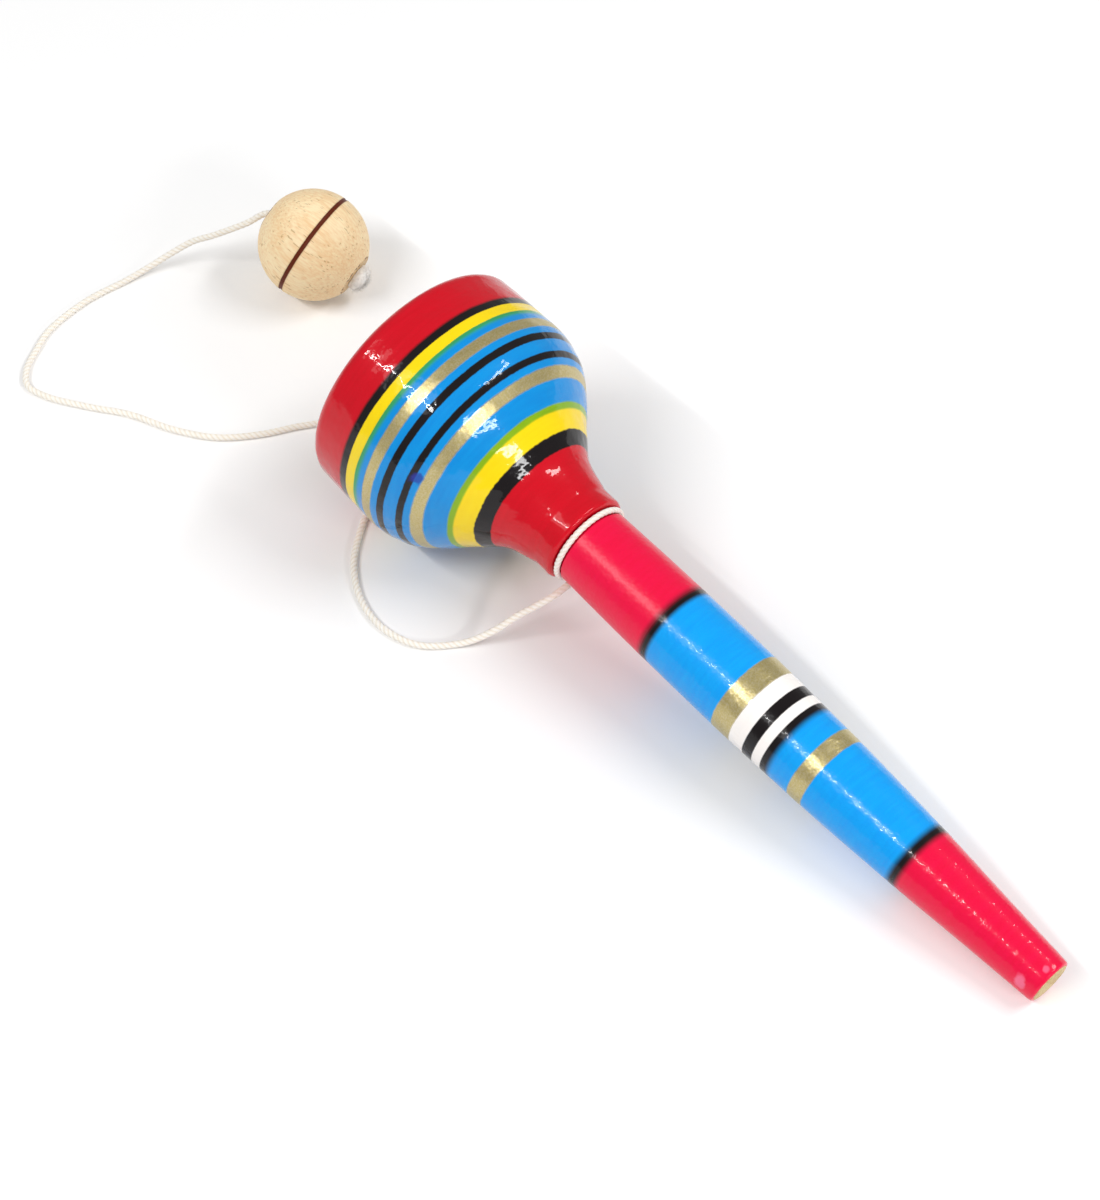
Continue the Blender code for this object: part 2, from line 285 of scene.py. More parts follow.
class Effects:
    """The shader node groups that several finishes share, each built once.

    A rate is a number of waves per metre, and edges are the noise levels between which something comes up.
    """

    KINDS = {"value": "NodeSocketFloat", "vector": "NodeSocketVector", "colour": "NodeSocketColor"}
    NOISE_MIDDLE = 0.5
    EDGE_WAVE_RATE = 95.0
    EDGE_FRAY_RATE = 800.0
    FRAY_SPREAD = 4.0
    STREAK_STRETCH = 0.045
    BROAD_RATE = 210.0
    STREAK_RATE = 1900.0
    STREAK_SHARE = 0.62
    STREAK_EDGES = (0.32, 0.66)
    PORE_STRETCH = 0.03
    PORE_RATE = 2000.0
    PORE_PATCH_RATE = 260.0
    PORE_PATCH_EDGES = (0.35, 0.65)
    PORE_LEVELS = (0.70, 0.63)
    PORE_FADE = 0.05
    PORE_COVER = 0.6
    MARK_SQUEEZE = 0.12
    MARK_RATE = 1100.0
    SAG_RATE = 190.0

    def __init__(self) -> None:
        """Build every group."""
        self.station = self._station()
        self.ring = self._ring()
        self.unrest = self._unrest()
        self.grain = self._grain()
        self.turning = self._turning()
        self.ripple = self._ripple()

    def _start(
        self, name: str, inputs: dict[str, str], outputs: dict[str, str]
    ) -> tuple[Graph, dict[str, Wire], dict[str, Wire]]:
        """Start a group.

        Args:
            name: Its name.
            inputs: Kind of each input by name.
            outputs: Kind of each output by name.

        Returns:
            Its graph, the sockets that its inputs come from, and those that its outputs go to.
        """
        tree = bpy.data.node_groups.new(name, "ShaderNodeTree")
        for socket, kind in inputs.items():
            tree.interface.new_socket(name=socket, in_out="INPUT", socket_type=self.KINDS[kind])
        for socket, kind in outputs.items():
            tree.interface.new_socket(name=socket, in_out="OUTPUT", socket_type=self.KINDS[kind])
        graph = Graph(tree)
        source = graph.add("NodeGroupInput")
        target = graph.add("NodeGroupOutput")
        return graph, dict(source.outputs.items()), dict(target.inputs.items())

    @staticmethod
    def _drawn_out(graph: Graph, source: dict[str, Wire], around: Feed, along: Feed) -> Wire:
        """Find each point's place, drawn out round an axis and along it.

        Args:
            graph: Graph of the group.
            source: Its inputs, with the axis and each point's height and offset from it.
            around: Factor of the distances across the axis.
            along: Factor of the distances along the axis.

        Returns:
            The drawn-out place.
        """
        lengthwise = graph.scale(source["Axis"], graph.times(source["Height"], along))
        return graph.vector("ADD", graph.scale(source["Out"], around), lengthwise)

    def _station(self) -> bpy.types.NodeTree:
        """Build the group that finds a point's height along an axis and its offset from it.

        Returns:
            The group.
        """
        graph, source, target = self._start(
            "Place on an axis",
            {"Place": "vector", "Origin": "vector", "Axis": "vector"},
            {"Height": "value", "Out": "vector"},
        )
        offset = graph.vector("SUBTRACT", source["Place"], source["Origin"])
        height = graph.measure("DOT_PRODUCT", offset, source["Axis"])
        graph.feed(target["Height"], height)
        graph.feed(target["Out"], graph.vector("SUBTRACT", offset, graph.scale(source["Axis"], height)))
        return graph.tree

    def _unrest(self) -> bpy.types.NodeTree:
        """Build the group for the unsteady hand of a ring's edge: slow waves and a fine raggedness.

        Returns:
            The group.
        """
        graph, source, target = self._start(
            "Unsteady edge",
            {"Place": "vector", "Waves": "value"},
            {"Slow": "vector", "Fine": "value"},
        )
        slow = graph.noise(source["Place"], self.EDGE_WAVE_RATE, detail=1.0, output="Color")
        slow = graph.vector("SUBTRACT", slow, (self.NOISE_MIDDLE,) * 3)
        fine = graph.noise(source["Place"], self.EDGE_FRAY_RATE)
        graph.feed(target["Slow"], graph.scale(slow, source["Waves"]))
        graph.feed(target["Fine"], graph.minus(fine, self.NOISE_MIDDLE))
        return graph.tree

    def _ring(self) -> bpy.types.NodeTree:
        """Build the group that lays one painted ring over what is under it.

        Returns:
            The group.
        """
        graph, source, target = self._start(
            "Painted ring",
            {
                "Under": "colour", "Under Metal": "value", "Height": "value", "Slow": "vector",
                "Pick": "vector", "Fine": "value", "Ragged": "value", "Start": "value", "End": "value",
                "Soft Start": "value", "Soft End": "value", "Paint": "colour", "Metal": "value",
            },
            {"Colour": "colour", "Metal": "value"},
        )
        shift = graph.measure("DOT_PRODUCT", source["Slow"], source["Pick"])
        fray = graph.times(source["Fine"], graph.times(source["Ragged"], self.FRAY_SPREAD))
        height = graph.plus(source["Height"], graph.plus(shift, fray))
        low = graph.minus(source["Start"], graph.times(source["Soft Start"], 0.5))
        high = graph.plus(source["End"], graph.times(source["Soft End"], 0.5))
        rise = graph.ease(height, low, graph.plus(low, source["Soft Start"]))
        fall = graph.ease(height, graph.minus(high, source["Soft End"]), high)
        cover = graph.times(rise, graph.minus(1.0, fall))
        graph.feed(target["Colour"], graph.mix(cover, source["Under"], source["Paint"]))
        graph.feed(target["Metal"], graph.blend(cover, source["Under Metal"], source["Metal"]))
        return graph.tree

    def _grain(self) -> bpy.types.NodeTree:
        """Build the group for straight wood grain along an axis: soft streaks and short dark pores.

        Returns:
            The group.
        """
        graph, source, target = self._start(
            "Wood grain",
            {
                "Out": "vector", "Height": "value", "Axis": "vector", "Light": "colour", "Dark": "colour",
                "Pore": "colour",
            },
            {"Colour": "colour", "Pores": "value"},
        )
        long = self._drawn_out(graph, source, 1.0, self.STREAK_STRETCH)
        broad = graph.noise(long, self.BROAD_RATE)
        streak = graph.noise(long, self.STREAK_RATE, detail=3.0)
        tone = graph.blend(self.STREAK_SHARE, broad, streak)
        colour = graph.mix(graph.ease(tone, *self.STREAK_EDGES), source["Dark"], source["Light"])
        short = self._drawn_out(graph, source, 1.0, self.PORE_STRETCH)
        dots = graph.noise(short, self.PORE_RATE, detail=1.0)
        patches = graph.noise(short, self.PORE_PATCH_RATE, detail=1.0)
        level = graph.blend(graph.ease(patches, *self.PORE_PATCH_EDGES), *self.PORE_LEVELS)
        pores = graph.ease(dots, level, graph.plus(level, self.PORE_FADE))
        graph.feed(target["Colour"], graph.mix(graph.times(pores, self.PORE_COVER), colour, source["Pore"]))
        graph.feed(target["Pores"], pores)
        return graph.tree

    def _turning(self) -> bpy.types.NodeTree:
        """Build the group for the fine rings that a turning tool and a brush leave round a piece.

        Returns:
            The group.
        """
        graph, source, target = self._start(
            "Turning marks",
            {"Out": "vector", "Height": "value", "Axis": "vector"},
            {"Marks": "value"},
        )
        place = self._drawn_out(graph, source, self.MARK_SQUEEZE, 1.0)
        graph.feed(target["Marks"], graph.noise(place, self.MARK_RATE, detail=3.0))
        return graph.tree

    def _ripple(self) -> bpy.types.NodeTree:
        """Build the group for the lumps that thick lacquer dries with: broad sags and small wrinkles.

        Returns:
            The group.
        """
        graph, source, target = self._start(
            "Lacquer ripple",
            {
                "Out": "vector", "Height": "value", "Axis": "vector", "Squeeze": "value", "Sags": "value",
                "Wrinkles": "value", "Wrinkle Rate": "value",
            },
            {"Ripple": "value"},
        )
        place = self._drawn_out(graph, source, source["Squeeze"], 1.0)
        sags = graph.times(graph.noise(place, self.SAG_RATE, detail=1.0), source["Sags"])
        wrinkles = graph.times(graph.noise(place, source["Wrinkle Rate"], detail=1.0), source["Wrinkles"])
        graph.feed(target["Ripple"], graph.plus(sags, wrinkles))
        return graph.tree


class Finish:
    """What all finishes share: a Principled shader and a raised surface."""

    @staticmethod
    def start(name: str) -> tuple[bpy.types.Material, Graph, bpy.types.Node, Wire]:
        """Start a material.

        Args:
            name: Name of the material.

        Returns:
            The material, its graph, its Principled shader and the place of each point in the frame.
        """
        material = bpy.data.materials.new(name)
        material.use_nodes = True
        graph = Graph(material.node_tree)
        shader = material.node_tree.nodes["Principled BSDF"]
        place = graph.add("ShaderNodeTexCoord").outputs["Object"]
        return material, graph, shader, place

    @staticmethod
    def bump(graph: Graph, shader: bpy.types.Node, height: Wire, depth: float) -> None:
        """Raise the surface.

        Args:
            graph: Graph of the material.
            shader: Its Principled shader.
            height: Height of each point, in units of the depth.
            depth: Depth in metres.
        """
        node = graph.add("ShaderNodeBump", {"Height": height, "Distance": depth, "Strength": 1.0})
        graph.feed(shader.inputs["Normal"], node.outputs["Normal"])

    @staticmethod
    def constants(shader: bpy.types.Node, **values: Feed) -> None:
        """Set what is the same all over the surface.

        Args:
            shader: Principled shader of the material.
            values: The constants, by the names of their sockets with _ for a space.
        """
        for name, value in values.items():
            shader.inputs[name.replace("_", " ")].default_value = value


@dataclass(frozen=True)
class RingLacquer(Finish):
    """Lacquer in painted rings.

    Args:
        name: Name of the material.
        base: Paint under the rings.
        rings: The rings, in the order in which they are laid.
        smears: Blots on the rings.
        waves: How far a ring's edge wanders, in metres.
        roughness: Roughness of the lacquer where it is bright.
        dull: Its roughness in the fine rings that the brush left dull.
        bronze_roughness: Roughness of the gold paint.
        gloss: Specular level of the lacquer.
        haze: Weight of a dull bloom over the gloss.
        squeeze: How much the ripples stretch round the axis, from 1 for not at all towards 0.
        sags: Depth of the lacquer's broad sags.
        wrinkles: Depth of its small wrinkles.
        wrinkle_width: Width of a small wrinkle.
        rubbed_from: Height above which hands have rubbed the lacquer dull, if any.
        rubbed: Its roughness there.
    """

    name: str
    base: Paint
    rings: tuple[Ring, ...]
    smears: tuple[Smear, ...]
    waves: float
    roughness: float
    dull: float
    bronze_roughness: float
    gloss: float
    haze: float
    squeeze: float
    sags: float
    wrinkles: float
    wrinkle_width: float
    rubbed_from: float | None = None
    rubbed: float = 0.3

    PICK_STEP = 2.4
    PICK_TWIST = 2.1
    PICK_SHIFT = 1.0
    DULL_MARKS = (0.42, 0.56)
    RUB_FADE = 2.0 * MM
    HAZE_ROUGHNESS = 0.3
    THIN_MARKS = (0.25, 0.75)
    THIN_SHARE = 0.16
    FLAKE_RATE = 2600.0
    FLAKE_EDGES = (0.3, 0.75)
    FLAKE_SHINE = 0.25
    SMEAR_RATE = 420.0
    SMEAR_CORE = 0.45

    def build(self, effects: Effects, axis: Axis) -> bpy.types.Material:
        """Build the material.

        Args:
            effects: The shared node groups.
            axis: The stick's axis.

        Returns:
            The material.
        """
        material, graph, shader, place = self.start(self.name)
        spot = graph.place_group(effects.station, Place=place, Origin=axis.origin, Axis=axis.along)
        marks = graph.place_group(effects.turning, Axis=axis.along, **spot)["Marks"]
        colour, metal = self._lay_rings(graph, effects, place, spot["Height"])
        for smear in self.smears:
            colour = self._lay_smear(graph, place, colour, smear)
        graph.feed(shader.inputs["Base Color"], self._brush(graph, place, colour, metal, marks))
        graph.feed(shader.inputs["Metallic"], metal)
        worn = graph.blend(graph.ease(marks, *self.DULL_MARKS), self.roughness, self.dull)
        if self.rubbed_from is not None:
            hand = graph.ease(spot["Height"], self.rubbed_from, self.rubbed_from + self.RUB_FADE)
            worn = graph.blend(hand, worn, self.rubbed)
        graph.feed(shader.inputs["Roughness"], graph.blend(metal, worn, self.bronze_roughness))
        self.constants(
            shader, Specular_IOR_Level=self.gloss, Coat_Weight=self.haze, Coat_Roughness=self.HAZE_ROUGHNESS
        )
        ripple = graph.place_group(
            effects.ripple, Axis=axis.along, Squeeze=self.squeeze, Sags=self.sags / MM,
            Wrinkles=self.wrinkles / MM, Wrinkle_Rate=1.0 / self.wrinkle_width, **spot,
        )
        self.bump(graph, shader, ripple["Ripple"], MM)
        return material

    def _lay_rings(self, graph: Graph, effects: Effects, place: Wire, height: Wire) -> tuple[Feed, Feed]:
        """Lay the rings over the base paint.

        Args:
            graph: Graph of the material.
            effects: The shared node groups.
            place: Place of each point.
            height: Height of each point along the stick.

        Returns:
            The colour, and where the gold is.
        """
        unrest = graph.place_group(effects.unrest, Place=place, Waves=self.waves)
        colour: Feed = self.base.linear
        metal: Feed = 0.0
        for index, ring in enumerate(self.rings):
            turn = self.PICK_STEP * index
            pick = (math.cos(turn), math.sin(turn), math.cos(self.PICK_TWIST * turn + self.PICK_SHIFT))
            laid = graph.place_group(
                effects.ring, Under=colour, Under_Metal=metal, Height=height, Pick=pick, Ragged=ring.ragged,
                Start=ring.start, End=ring.end, Soft_Start=ring.soft_start, Soft_End=ring.soft_end,
                Paint=ring.paint.linear, Metal=ring.sheen.value, **unrest,
            )
            colour = laid["Colour"]
            metal = laid["Metal"]
        return colour, metal

    def _brush(self, graph: Graph, place: Wire, colour: Feed, metal: Feed, marks: Wire) -> Wire:
        """Lay thin streaks in the paint and uneven flakes in the gold.

        Args:
            graph: Graph of the material.
            place: Place of each point.
            colour: Colour of the rings.
            metal: Where the gold is.
            marks: Fine rings from 0 to 1.

        Returns:
            The uneven colour.
        """
        deep = graph.mix(1.0, colour, colour, blend_type="MULTIPLY")
        thin = graph.minus(1.0, graph.ease(marks, *self.THIN_MARKS))
        colour = graph.mix(graph.times(thin, self.THIN_SHARE), colour, deep)
        flakes = graph.ease(graph.noise(place, self.FLAKE_RATE), *self.FLAKE_EDGES)
        shine = graph.times(graph.times(flakes, metal), self.FLAKE_SHINE)
        return graph.mix(shine, colour, Paint.WHITE.linear)

    def _lay_smear(self, graph: Graph, place: Wire, colour: Feed, smear: Smear) -> Wire:
        """Lay a blot over the colour.

        Args:
            graph: Graph of the material.
            place: Place of each point.
            colour: Colour under the blot.
            smear: The blot.

        Returns:
            The colour with the blot.
        """
        distance = graph.measure("DISTANCE", place, smear.place)
        reach = graph.times(graph.noise(place, self.SMEAR_RATE), 2.0 * smear.reach)
        fade = graph.ease(distance, graph.times(reach, self.SMEAR_CORE), reach)
        cover = graph.times(graph.minus(1.0, fade), smear.strength)
        return graph.mix(cover, colour, smear.paint.linear)


@dataclass(frozen=True)
class TurnedWood(Finish):
    """Bare turned wood with straight grain.

    Args:
        name: Name of the material.
        light: Colour of the pale grain.
        dark: Colour of the tan grain.
        roughness: Roughness of the wood.
        marks_depth: Depth of the turning marks.
        burn_width: Width of a burnt line round the axis's origin, or 0.
        torn_ends: Heights of the cut ends whose grain is torn.
    """

    name: str
    light: Paint
    dark: Paint
    roughness: float
    marks_depth: float
    burn_width: float = 0.0
    torn_ends: tuple[float, ...] = ()

    GLOSS = 0.2
    PORE_ROUGHNESS = 0.2
    PORE_DEPTH = 0.8
    TEAR_RATE = 1700.0
    TEAR_REACH = 0.5 * MM
    SPLINTER_RATE = 900.0
    SPLINTER_EDGES = (0.45, 0.58)
    SPLINTER_START = (0.01 * MM, 0.06 * MM)
    SPLINTER_END = (0.3 * MM, 0.14 * MM)
    SPLINTER_COVER = 0.75
    BURN_RATE = 500.0
    BURN_WANDER = 0.3
    BURN_LEAST = 0.87
    SCORCH_START = 0.9
    SCORCH_END = 1.1
    HALO_END = 1.9
    HALO_COVER = 0.3

    def build(self, effects: Effects, axis: Axis) -> bpy.types.Material:
        """Build the material.

        Args:
            effects: The shared node groups.
            axis: Axis that the grain follows.

        Returns:
            The material.
        """
        material, graph, shader, place = self.start(self.name)
        spot = graph.place_group(effects.station, Place=place, Origin=axis.origin, Axis=axis.along)
        grain = graph.place_group(
            effects.grain, Axis=axis.along, Light=self.light.linear, Dark=self.dark.linear,
            Pore=Paint.PORE_BROWN.linear, **spot,
        )
        marks = graph.place_group(effects.turning, Axis=axis.along, **spot)["Marks"]
        colour = grain["Colour"]
        for end in self.torn_ends:
            colour = self._tear(graph, place, colour, spot["Height"], end)
        if self.burn_width > 0.0:
            colour = self._burn(graph, place, colour, spot["Height"])
        graph.feed(shader.inputs["Base Color"], colour)
        rough = graph.blend(grain["Pores"], self.roughness, self.roughness + self.PORE_ROUGHNESS)
        graph.feed(shader.inputs["Roughness"], rough)
        self.constants(shader, Specular_IOR_Level=self.GLOSS)
        relief = graph.minus(marks, graph.times(grain["Pores"], self.PORE_DEPTH))
        self.bump(graph, shader, relief, self.marks_depth)
        return material

    def _tear(self, graph: Graph, place: Wire, colour: Wire, height: Wire, end: float) -> Wire:
        """Lay the torn grain of a cut end and its dark broken edge over the colour.

        Args:
            graph: Graph of the material.
            place: Place of each point.
            colour: Colour of the wood.
            height: Height of each point along the axis.
            end: Height of the cut end.

        Returns:
            The colour with the torn end.
        """
        short = graph.minus(abs(end), graph.times(height, math.copysign(1.0, end)))
        fibre = graph.noise(place, self.TEAR_RATE)
        torn = graph.ease(short, graph.times(fibre, self.TEAR_REACH), 0.0)
        colour = graph.mix(graph.times(torn, fibre), colour, Paint.PORE_BROWN.linear)
        splinter = graph.ease(graph.noise(place, self.SPLINTER_RATE, detail=1.0), *self.SPLINTER_EDGES)
        edge = graph.times(graph.ease(short, *self.SPLINTER_END), graph.ease(short, *self.SPLINTER_START))
        dark = graph.times(graph.times(edge, splinter), self.SPLINTER_COVER)
        return graph.mix(dark, colour, Paint.BURNT.linear)

    def _burn(self, graph: Graph, place: Wire, colour: Wire, height: Wire) -> Wire:
        """Lay the burnt line and its brown edges over the colour.

        Args:
            graph: Graph of the material.
            place: Place of each point.
            colour: Colour of the wood.
            height: Height of each point along the axis.

        Returns:
            The colour with the line.
        """
        distance = graph.math("ABSOLUTE", height)
        wander = graph.times(graph.noise(place, self.BURN_RATE), self.BURN_WANDER)
        half = graph.times(graph.plus(wander, self.BURN_LEAST), 0.5 * self.burn_width)
        scorch_start = graph.times(half, self.SCORCH_START)
        scorch = graph.ease(distance, scorch_start, graph.times(half, self.SCORCH_END))
        halo = graph.ease(distance, half, graph.times(half, self.HALO_END))
        brown = graph.times(graph.minus(1.0, halo), self.HALO_COVER)
        warm = graph.mix(brown, colour, Paint.PORE_BROWN.linear)
        return graph.mix(scorch, Paint.BURNT.linear, warm)


@dataclass(frozen=True)
class LaidCotton(Finish):
    """Cotton yarn: pale crests, a painted shade in the furrows between the strands, and fine fibres.

    Args:
        name: Name of the material.
        crest: Colour of the strands.
        painted_shade_and_soil: Colour painted between the strands as their shade, and the colour of the
            patches of soil.
        fuzz: Weight of the pale fuzz that stands off the yarn.
        glow: How much light goes through the loose cotton.
    """

    name: str
    crest: Paint
    painted_shade_and_soil: Paint
    fuzz: float
    glow: float

    ROUGHNESS = 0.95
    GLOSS = 0.2
    FUZZ_ROUGHNESS = 0.5
    GLOW_DEPTH = 2.0 * MM
    PAINTED_SHADE_EDGE = 0.75
    FIBRE_RATE = 5200.0
    FIBRE_TONES = (0.72, 1.25)
    FIBRE_DEPTH = 0.12 * MM
    SOIL_RATE = 140.0
    SOIL_EDGES = (0.45, 0.75)
    SOIL_COVER = 0.2

    def build(self) -> bpy.types.Material:
        """Build the material.

        Returns:
            The material.
        """
        material, graph, shader, place = self.start(self.name)
        lay = graph.add("ShaderNodeAttribute", attribute_name=LAY).outputs["Fac"]
        fibres = graph.noise(place, self.FIBRE_RATE, detail=3.0)
        # Painted shade: the furrows between the strands are coloured darker than the crests, for the shade
        # that falls in them.
        crest = graph.ease(lay, 0.0, self.PAINTED_SHADE_EDGE)
        tone = graph.math("MULTIPLY", crest, graph.blend(fibres, *self.FIBRE_TONES), clamp=True)
        colour = graph.mix(tone, self.painted_shade_and_soil.linear, self.crest.linear)
        soil = graph.ease(graph.noise(place, self.SOIL_RATE), *self.SOIL_EDGES)
        colour = graph.mix(graph.times(soil, self.SOIL_COVER), colour, self.painted_shade_and_soil.linear)
        graph.feed(shader.inputs["Base Color"], colour)
        self.constants(
            shader, Roughness=self.ROUGHNESS, Specular_IOR_Level=self.GLOSS, Sheen_Weight=self.fuzz,
            Sheen_Roughness=self.FUZZ_ROUGHNESS, Subsurface_Weight=self.glow,
            Subsurface_Radius=(1.0, 1.0, 1.0), Subsurface_Scale=self.GLOW_DEPTH,
        )
        self.bump(graph, shader, fibres, self.FIBRE_DEPTH)
        return material


@dataclass(frozen=True)
class PaleTable(Finish):
    """A pale matt table top, with a painted shadow along the line under the stick.

    Args:
        name: Name of the material.
        paint: Its colour.
        lift: Light that it adds where it is seen, so that it looks white.
        painted_shadow_ends: Where the line under the stick starts and ends along X. The table adds no light
            along that line and less near it, which paints a shadow there, darker than the lamps alone make
            it.
        painted_shadow_level: Place of that line along Y.
        painted_shadow_reach: Distances from that line between which the added light comes up: the edge of the
            painted shadow.
    """

    name: str
    paint: Paint
    lift: float
    painted_shadow_ends: tuple[float, float]
    painted_shadow_level: float
    painted_shadow_reach: tuple[float, float]

    ROUGHNESS = 0.9
    GLOSS = 0.1
    CLOUD_RATE = 2.5
    CLOUD_TONE = 0.97

    def build(self) -> bpy.types.Material:
        """Build the material.

        Returns:
            The material.
        """
        material, graph, shader, place = self.start(self.name)
        cloud = graph.noise(place, self.CLOUD_RATE)
        shade = tuple(self.CLOUD_TONE * value for value in self.paint.linear[:3]) + (1.0,)
        graph.feed(shader.inputs["Base Color"], graph.mix(cloud, self.paint.linear, shade))
        self.constants(
            shader, Roughness=self.ROUGHNESS, Specular_IOR_Level=self.GLOSS,
            Emission_Color=(1.0, 1.0, 1.0, 1.0),
        )
        ray = graph.add("ShaderNodeLightPath").outputs
        seen = graph.plus(ray["Is Camera Ray"], ray["Is Glossy Ray"])
        seen = graph.math("ADD", seen, ray["Is Transmission Ray"], clamp=True)
        # Painted shadow: the added light fades out towards the line under the stick, so the table is darker
        # there whatever the lamps do.
        light = graph.times(graph.ease(self._distance_to_painted_shadow(graph, place), *self.painted_shadow_reach), self.lift)
        graph.feed(shader.inputs["Emission Strength"], graph.times(seen, light))
        return material

    def _distance_to_painted_shadow(self, graph: Graph, place: Wire) -> Wire:
        """Measure how far each point is from the line under the stick, along which the shadow is painted.

        Args:
            graph: Graph of the material.
            place: Place of each point.

        Returns:
            The distance.
        """
        spot = graph.add("ShaderNodeSeparateXYZ", {0: place}).outputs
        start, end = self.painted_shadow_ends
        nearest = graph.math("MINIMUM", graph.math("MAXIMUM", spot["X"], start), end)
        beside = {"X": graph.minus(spot["X"], nearest), "Y": graph.minus(spot["Y"], self.painted_shadow_level)}
        return graph.measure("LENGTH", graph.add("ShaderNodeCombineXYZ", beside).outputs[0])


def cubic(share: float | np.ndarray, span: float, ends: np.ndarray, slopes: np.ndarray) -> float | np.ndarray:
    """Find points on the cubic between two points.

    Args:
        share: Share of the way from the first point to the second.
        span: Length of the whole way.
        ends: The two points.
        slopes: The cubic's slopes at them.

    Returns:
        The points.
    """
    rest = 1 - share
    start = (1 + 2 * share) * rest ** 2 * ends[0] + share * rest ** 2 * span * slopes[0]
    end = share * share * (3 - 2 * share) * ends[1] + share * share * (share - 1) * span * slopes[1]
    return start + end


def running_length(points: np.ndarray) -> np.ndarray:
    """Return the length of the way to each of the points."""
    return np.concatenate([[0.0], np.cumsum(np.linalg.norm(np.diff(points, axis=0), axis=1))])


def smooth_curve(points: Sequence[Sequence[float]], step: float, samples: int = 40) -> np.ndarray:
    """Sample the cubic curve through points.

    Args:
        points: Points that the curve passes through.
        step: Distance between the samples that come back.
        samples: Number of samples between two points from which those are taken.

    Returns:
        Samples along the curve, evenly spaced by length.
    """
    knots = np.array(points, dtype=float)
    times = np.concatenate([[0.0], np.cumsum(np.sqrt(np.linalg.norm(np.diff(knots, axis=0), axis=1)))])
    tangents = np.gradient(knots, times, axis=0)
    shares = np.linspace(0.0, 1.0, samples, endpoint=False)[:, None]
    pieces = []
    for index in range(len(knots) - 1):
        span = times[index + 1] - times[index]
        pieces.append(cubic(shares, span, knots[index:index + 2], tangents[index:index + 2]))
    line = np.vstack(pieces + [knots[-1:]])
    lengths = running_length(line)
    wanted = np.linspace(0.0, lengths[-1], max(int(lengths[-1] / step), 2))
    return np.column_stack([np.interp(wanted, lengths, line[:, column]) for column in range(3)])


def turned_line(stations: Sequence[tuple[float, float]], samples: int) -> Profile:
    """Sample the curve through (height, radius) stations, level where the radius stops growing.

    Args:
        stations: Stations from the bottom up.
        samples: Number of points.

    Returns:
        (radius, height) points from the top down.
    """
    heights, radii = np.array(stations, dtype=float).T
    spans = np.diff(heights)
    slopes = np.diff(radii) / spans
    tangents = np.concatenate([slopes[:1], np.zeros(len(slopes) - 1), slopes[-1:]])
    for index, (before, after) in enumerate(zip(slopes, slopes[1:]), start=1):
        if before * after > 0.0:
            tangents[index] = 2.0 * before * after / (before + after)
    line = []
    for height in np.linspace(heights[-1], heights[0], samples):
        index = min(max(int(np.searchsorted(heights, height)) - 1, 0), len(spans) - 1)
        share = (height - heights[index]) / spans[index]
        radius = cubic(share, spans[index], radii[index:index + 2], tangents[index:index + 2])
        line.append((radius, height))
    return line


def arc(centre: tuple[float, float], radius: float, start: float, end: float, points: int = 12) -> Profile:
    """Sample an arc.

    Args:
        centre: Its middle, as (radius, height).
        radius: Its own radius.
        start: Angle of its first point, in degrees.
        end: Angle of its last point.
        points: Number of steps.

    Returns:
        (radius, height) points along the arc.
    """
    angles = np.radians(np.linspace(start, end, points + 1))
    return [(centre[0] + radius * math.cos(a), centre[1] + radius * math.sin(a)) for a in angles]


def lacquer_ripple(seed: int, depth: float, wave: float, count: int = 9) -> Ripple:
    """Make the slow ripple that thick lacquer keeps.

    Args:
        seed: Seed of its waves.
        depth: Greatest depth, in metres.
        wave: Shortest wavelength along the axis.
        count: Number of waves.

    Returns:
        A function from angles and heights to radial offsets.
    """
    fewest_turns, most_turns = 3, 26
    longest_wave_rate = 0.25
    random = np.random.default_rng(seed)
    waves = []
    for _ in range(count):
        turns = int(random.integers(fewest_turns, most_turns))
        rate = random.uniform(longest_wave_rate, 1.0) * FULL_TURN / wave
        waves.append((turns, rate, random.uniform(0.0, PHASES)))

    def offset(angles: np.ndarray, heights: np.ndarray) -> np.ndarray:
        """Return the ripple's offset at angles and heights."""
        total = sum(np.sin(turns * angles + rate * heights + phase) for turns, rate, phase in waves)
        return depth * total / len(waves)

    return offset


def make_piece(
    name: str, vertices: Sequence[Sequence[float]], faces: Faces, lay: np.ndarray | None = None
) -> bpy.types.Object:
    """Make a smooth piece of points and faces and put it in the scene.

    Args:
        name: Name of the piece.
        vertices: Its points.
        faces: Its faces.
        lay: How near each point is to the crest of a strand, on a piece of yarn.

    Returns:
        The piece.
    """
    mesh = bpy.data.meshes.new(name)
    mesh.from_pydata(vertices, [], faces)
    mesh.shade_smooth()
    if lay is not None:
        attribute = mesh.attributes.new(LAY, "FLOAT", "POINT")
        attribute.data.foreach_set("value", lay.astype(np.float32))
    piece = bpy.data.objects.new(name, mesh)
    bpy.context.scene.collection.objects.link(piece)
    return piece


def wall_faces(first: int, rings: int, sides: int) -> Faces:
    """List the faces between rings of points that follow each other.

    Args:
        first: Number of the first point.
        rings: Number of rings.
        sides: Number of points in a ring.

    Returns:
        The faces.
    """
    faces = []
    for ring in range(rings - 1):
        low = first + ring * sides
        high = low + sides
        for step in range(sides):
            after = (step + 1) % sides
            faces.append((low + step, low + after, high + after, high + step))
    return faces


def tube_faces(first: int, rings: int, sides: int) -> Faces:
    """List the faces of a closed tube of rings of points that follow each other.

    Args:
        first: Number of the first point.
        rings: Number of rings.
        sides: Number of points in a ring.

    Returns:
        The faces of its wall and its two ends.
    """
    last = first + (rings - 1) * sides
    ends = [tuple(reversed(range(first, first + sides))), tuple(range(last, last + sides))]
    return wall_faces(first, rings, sides) + ends


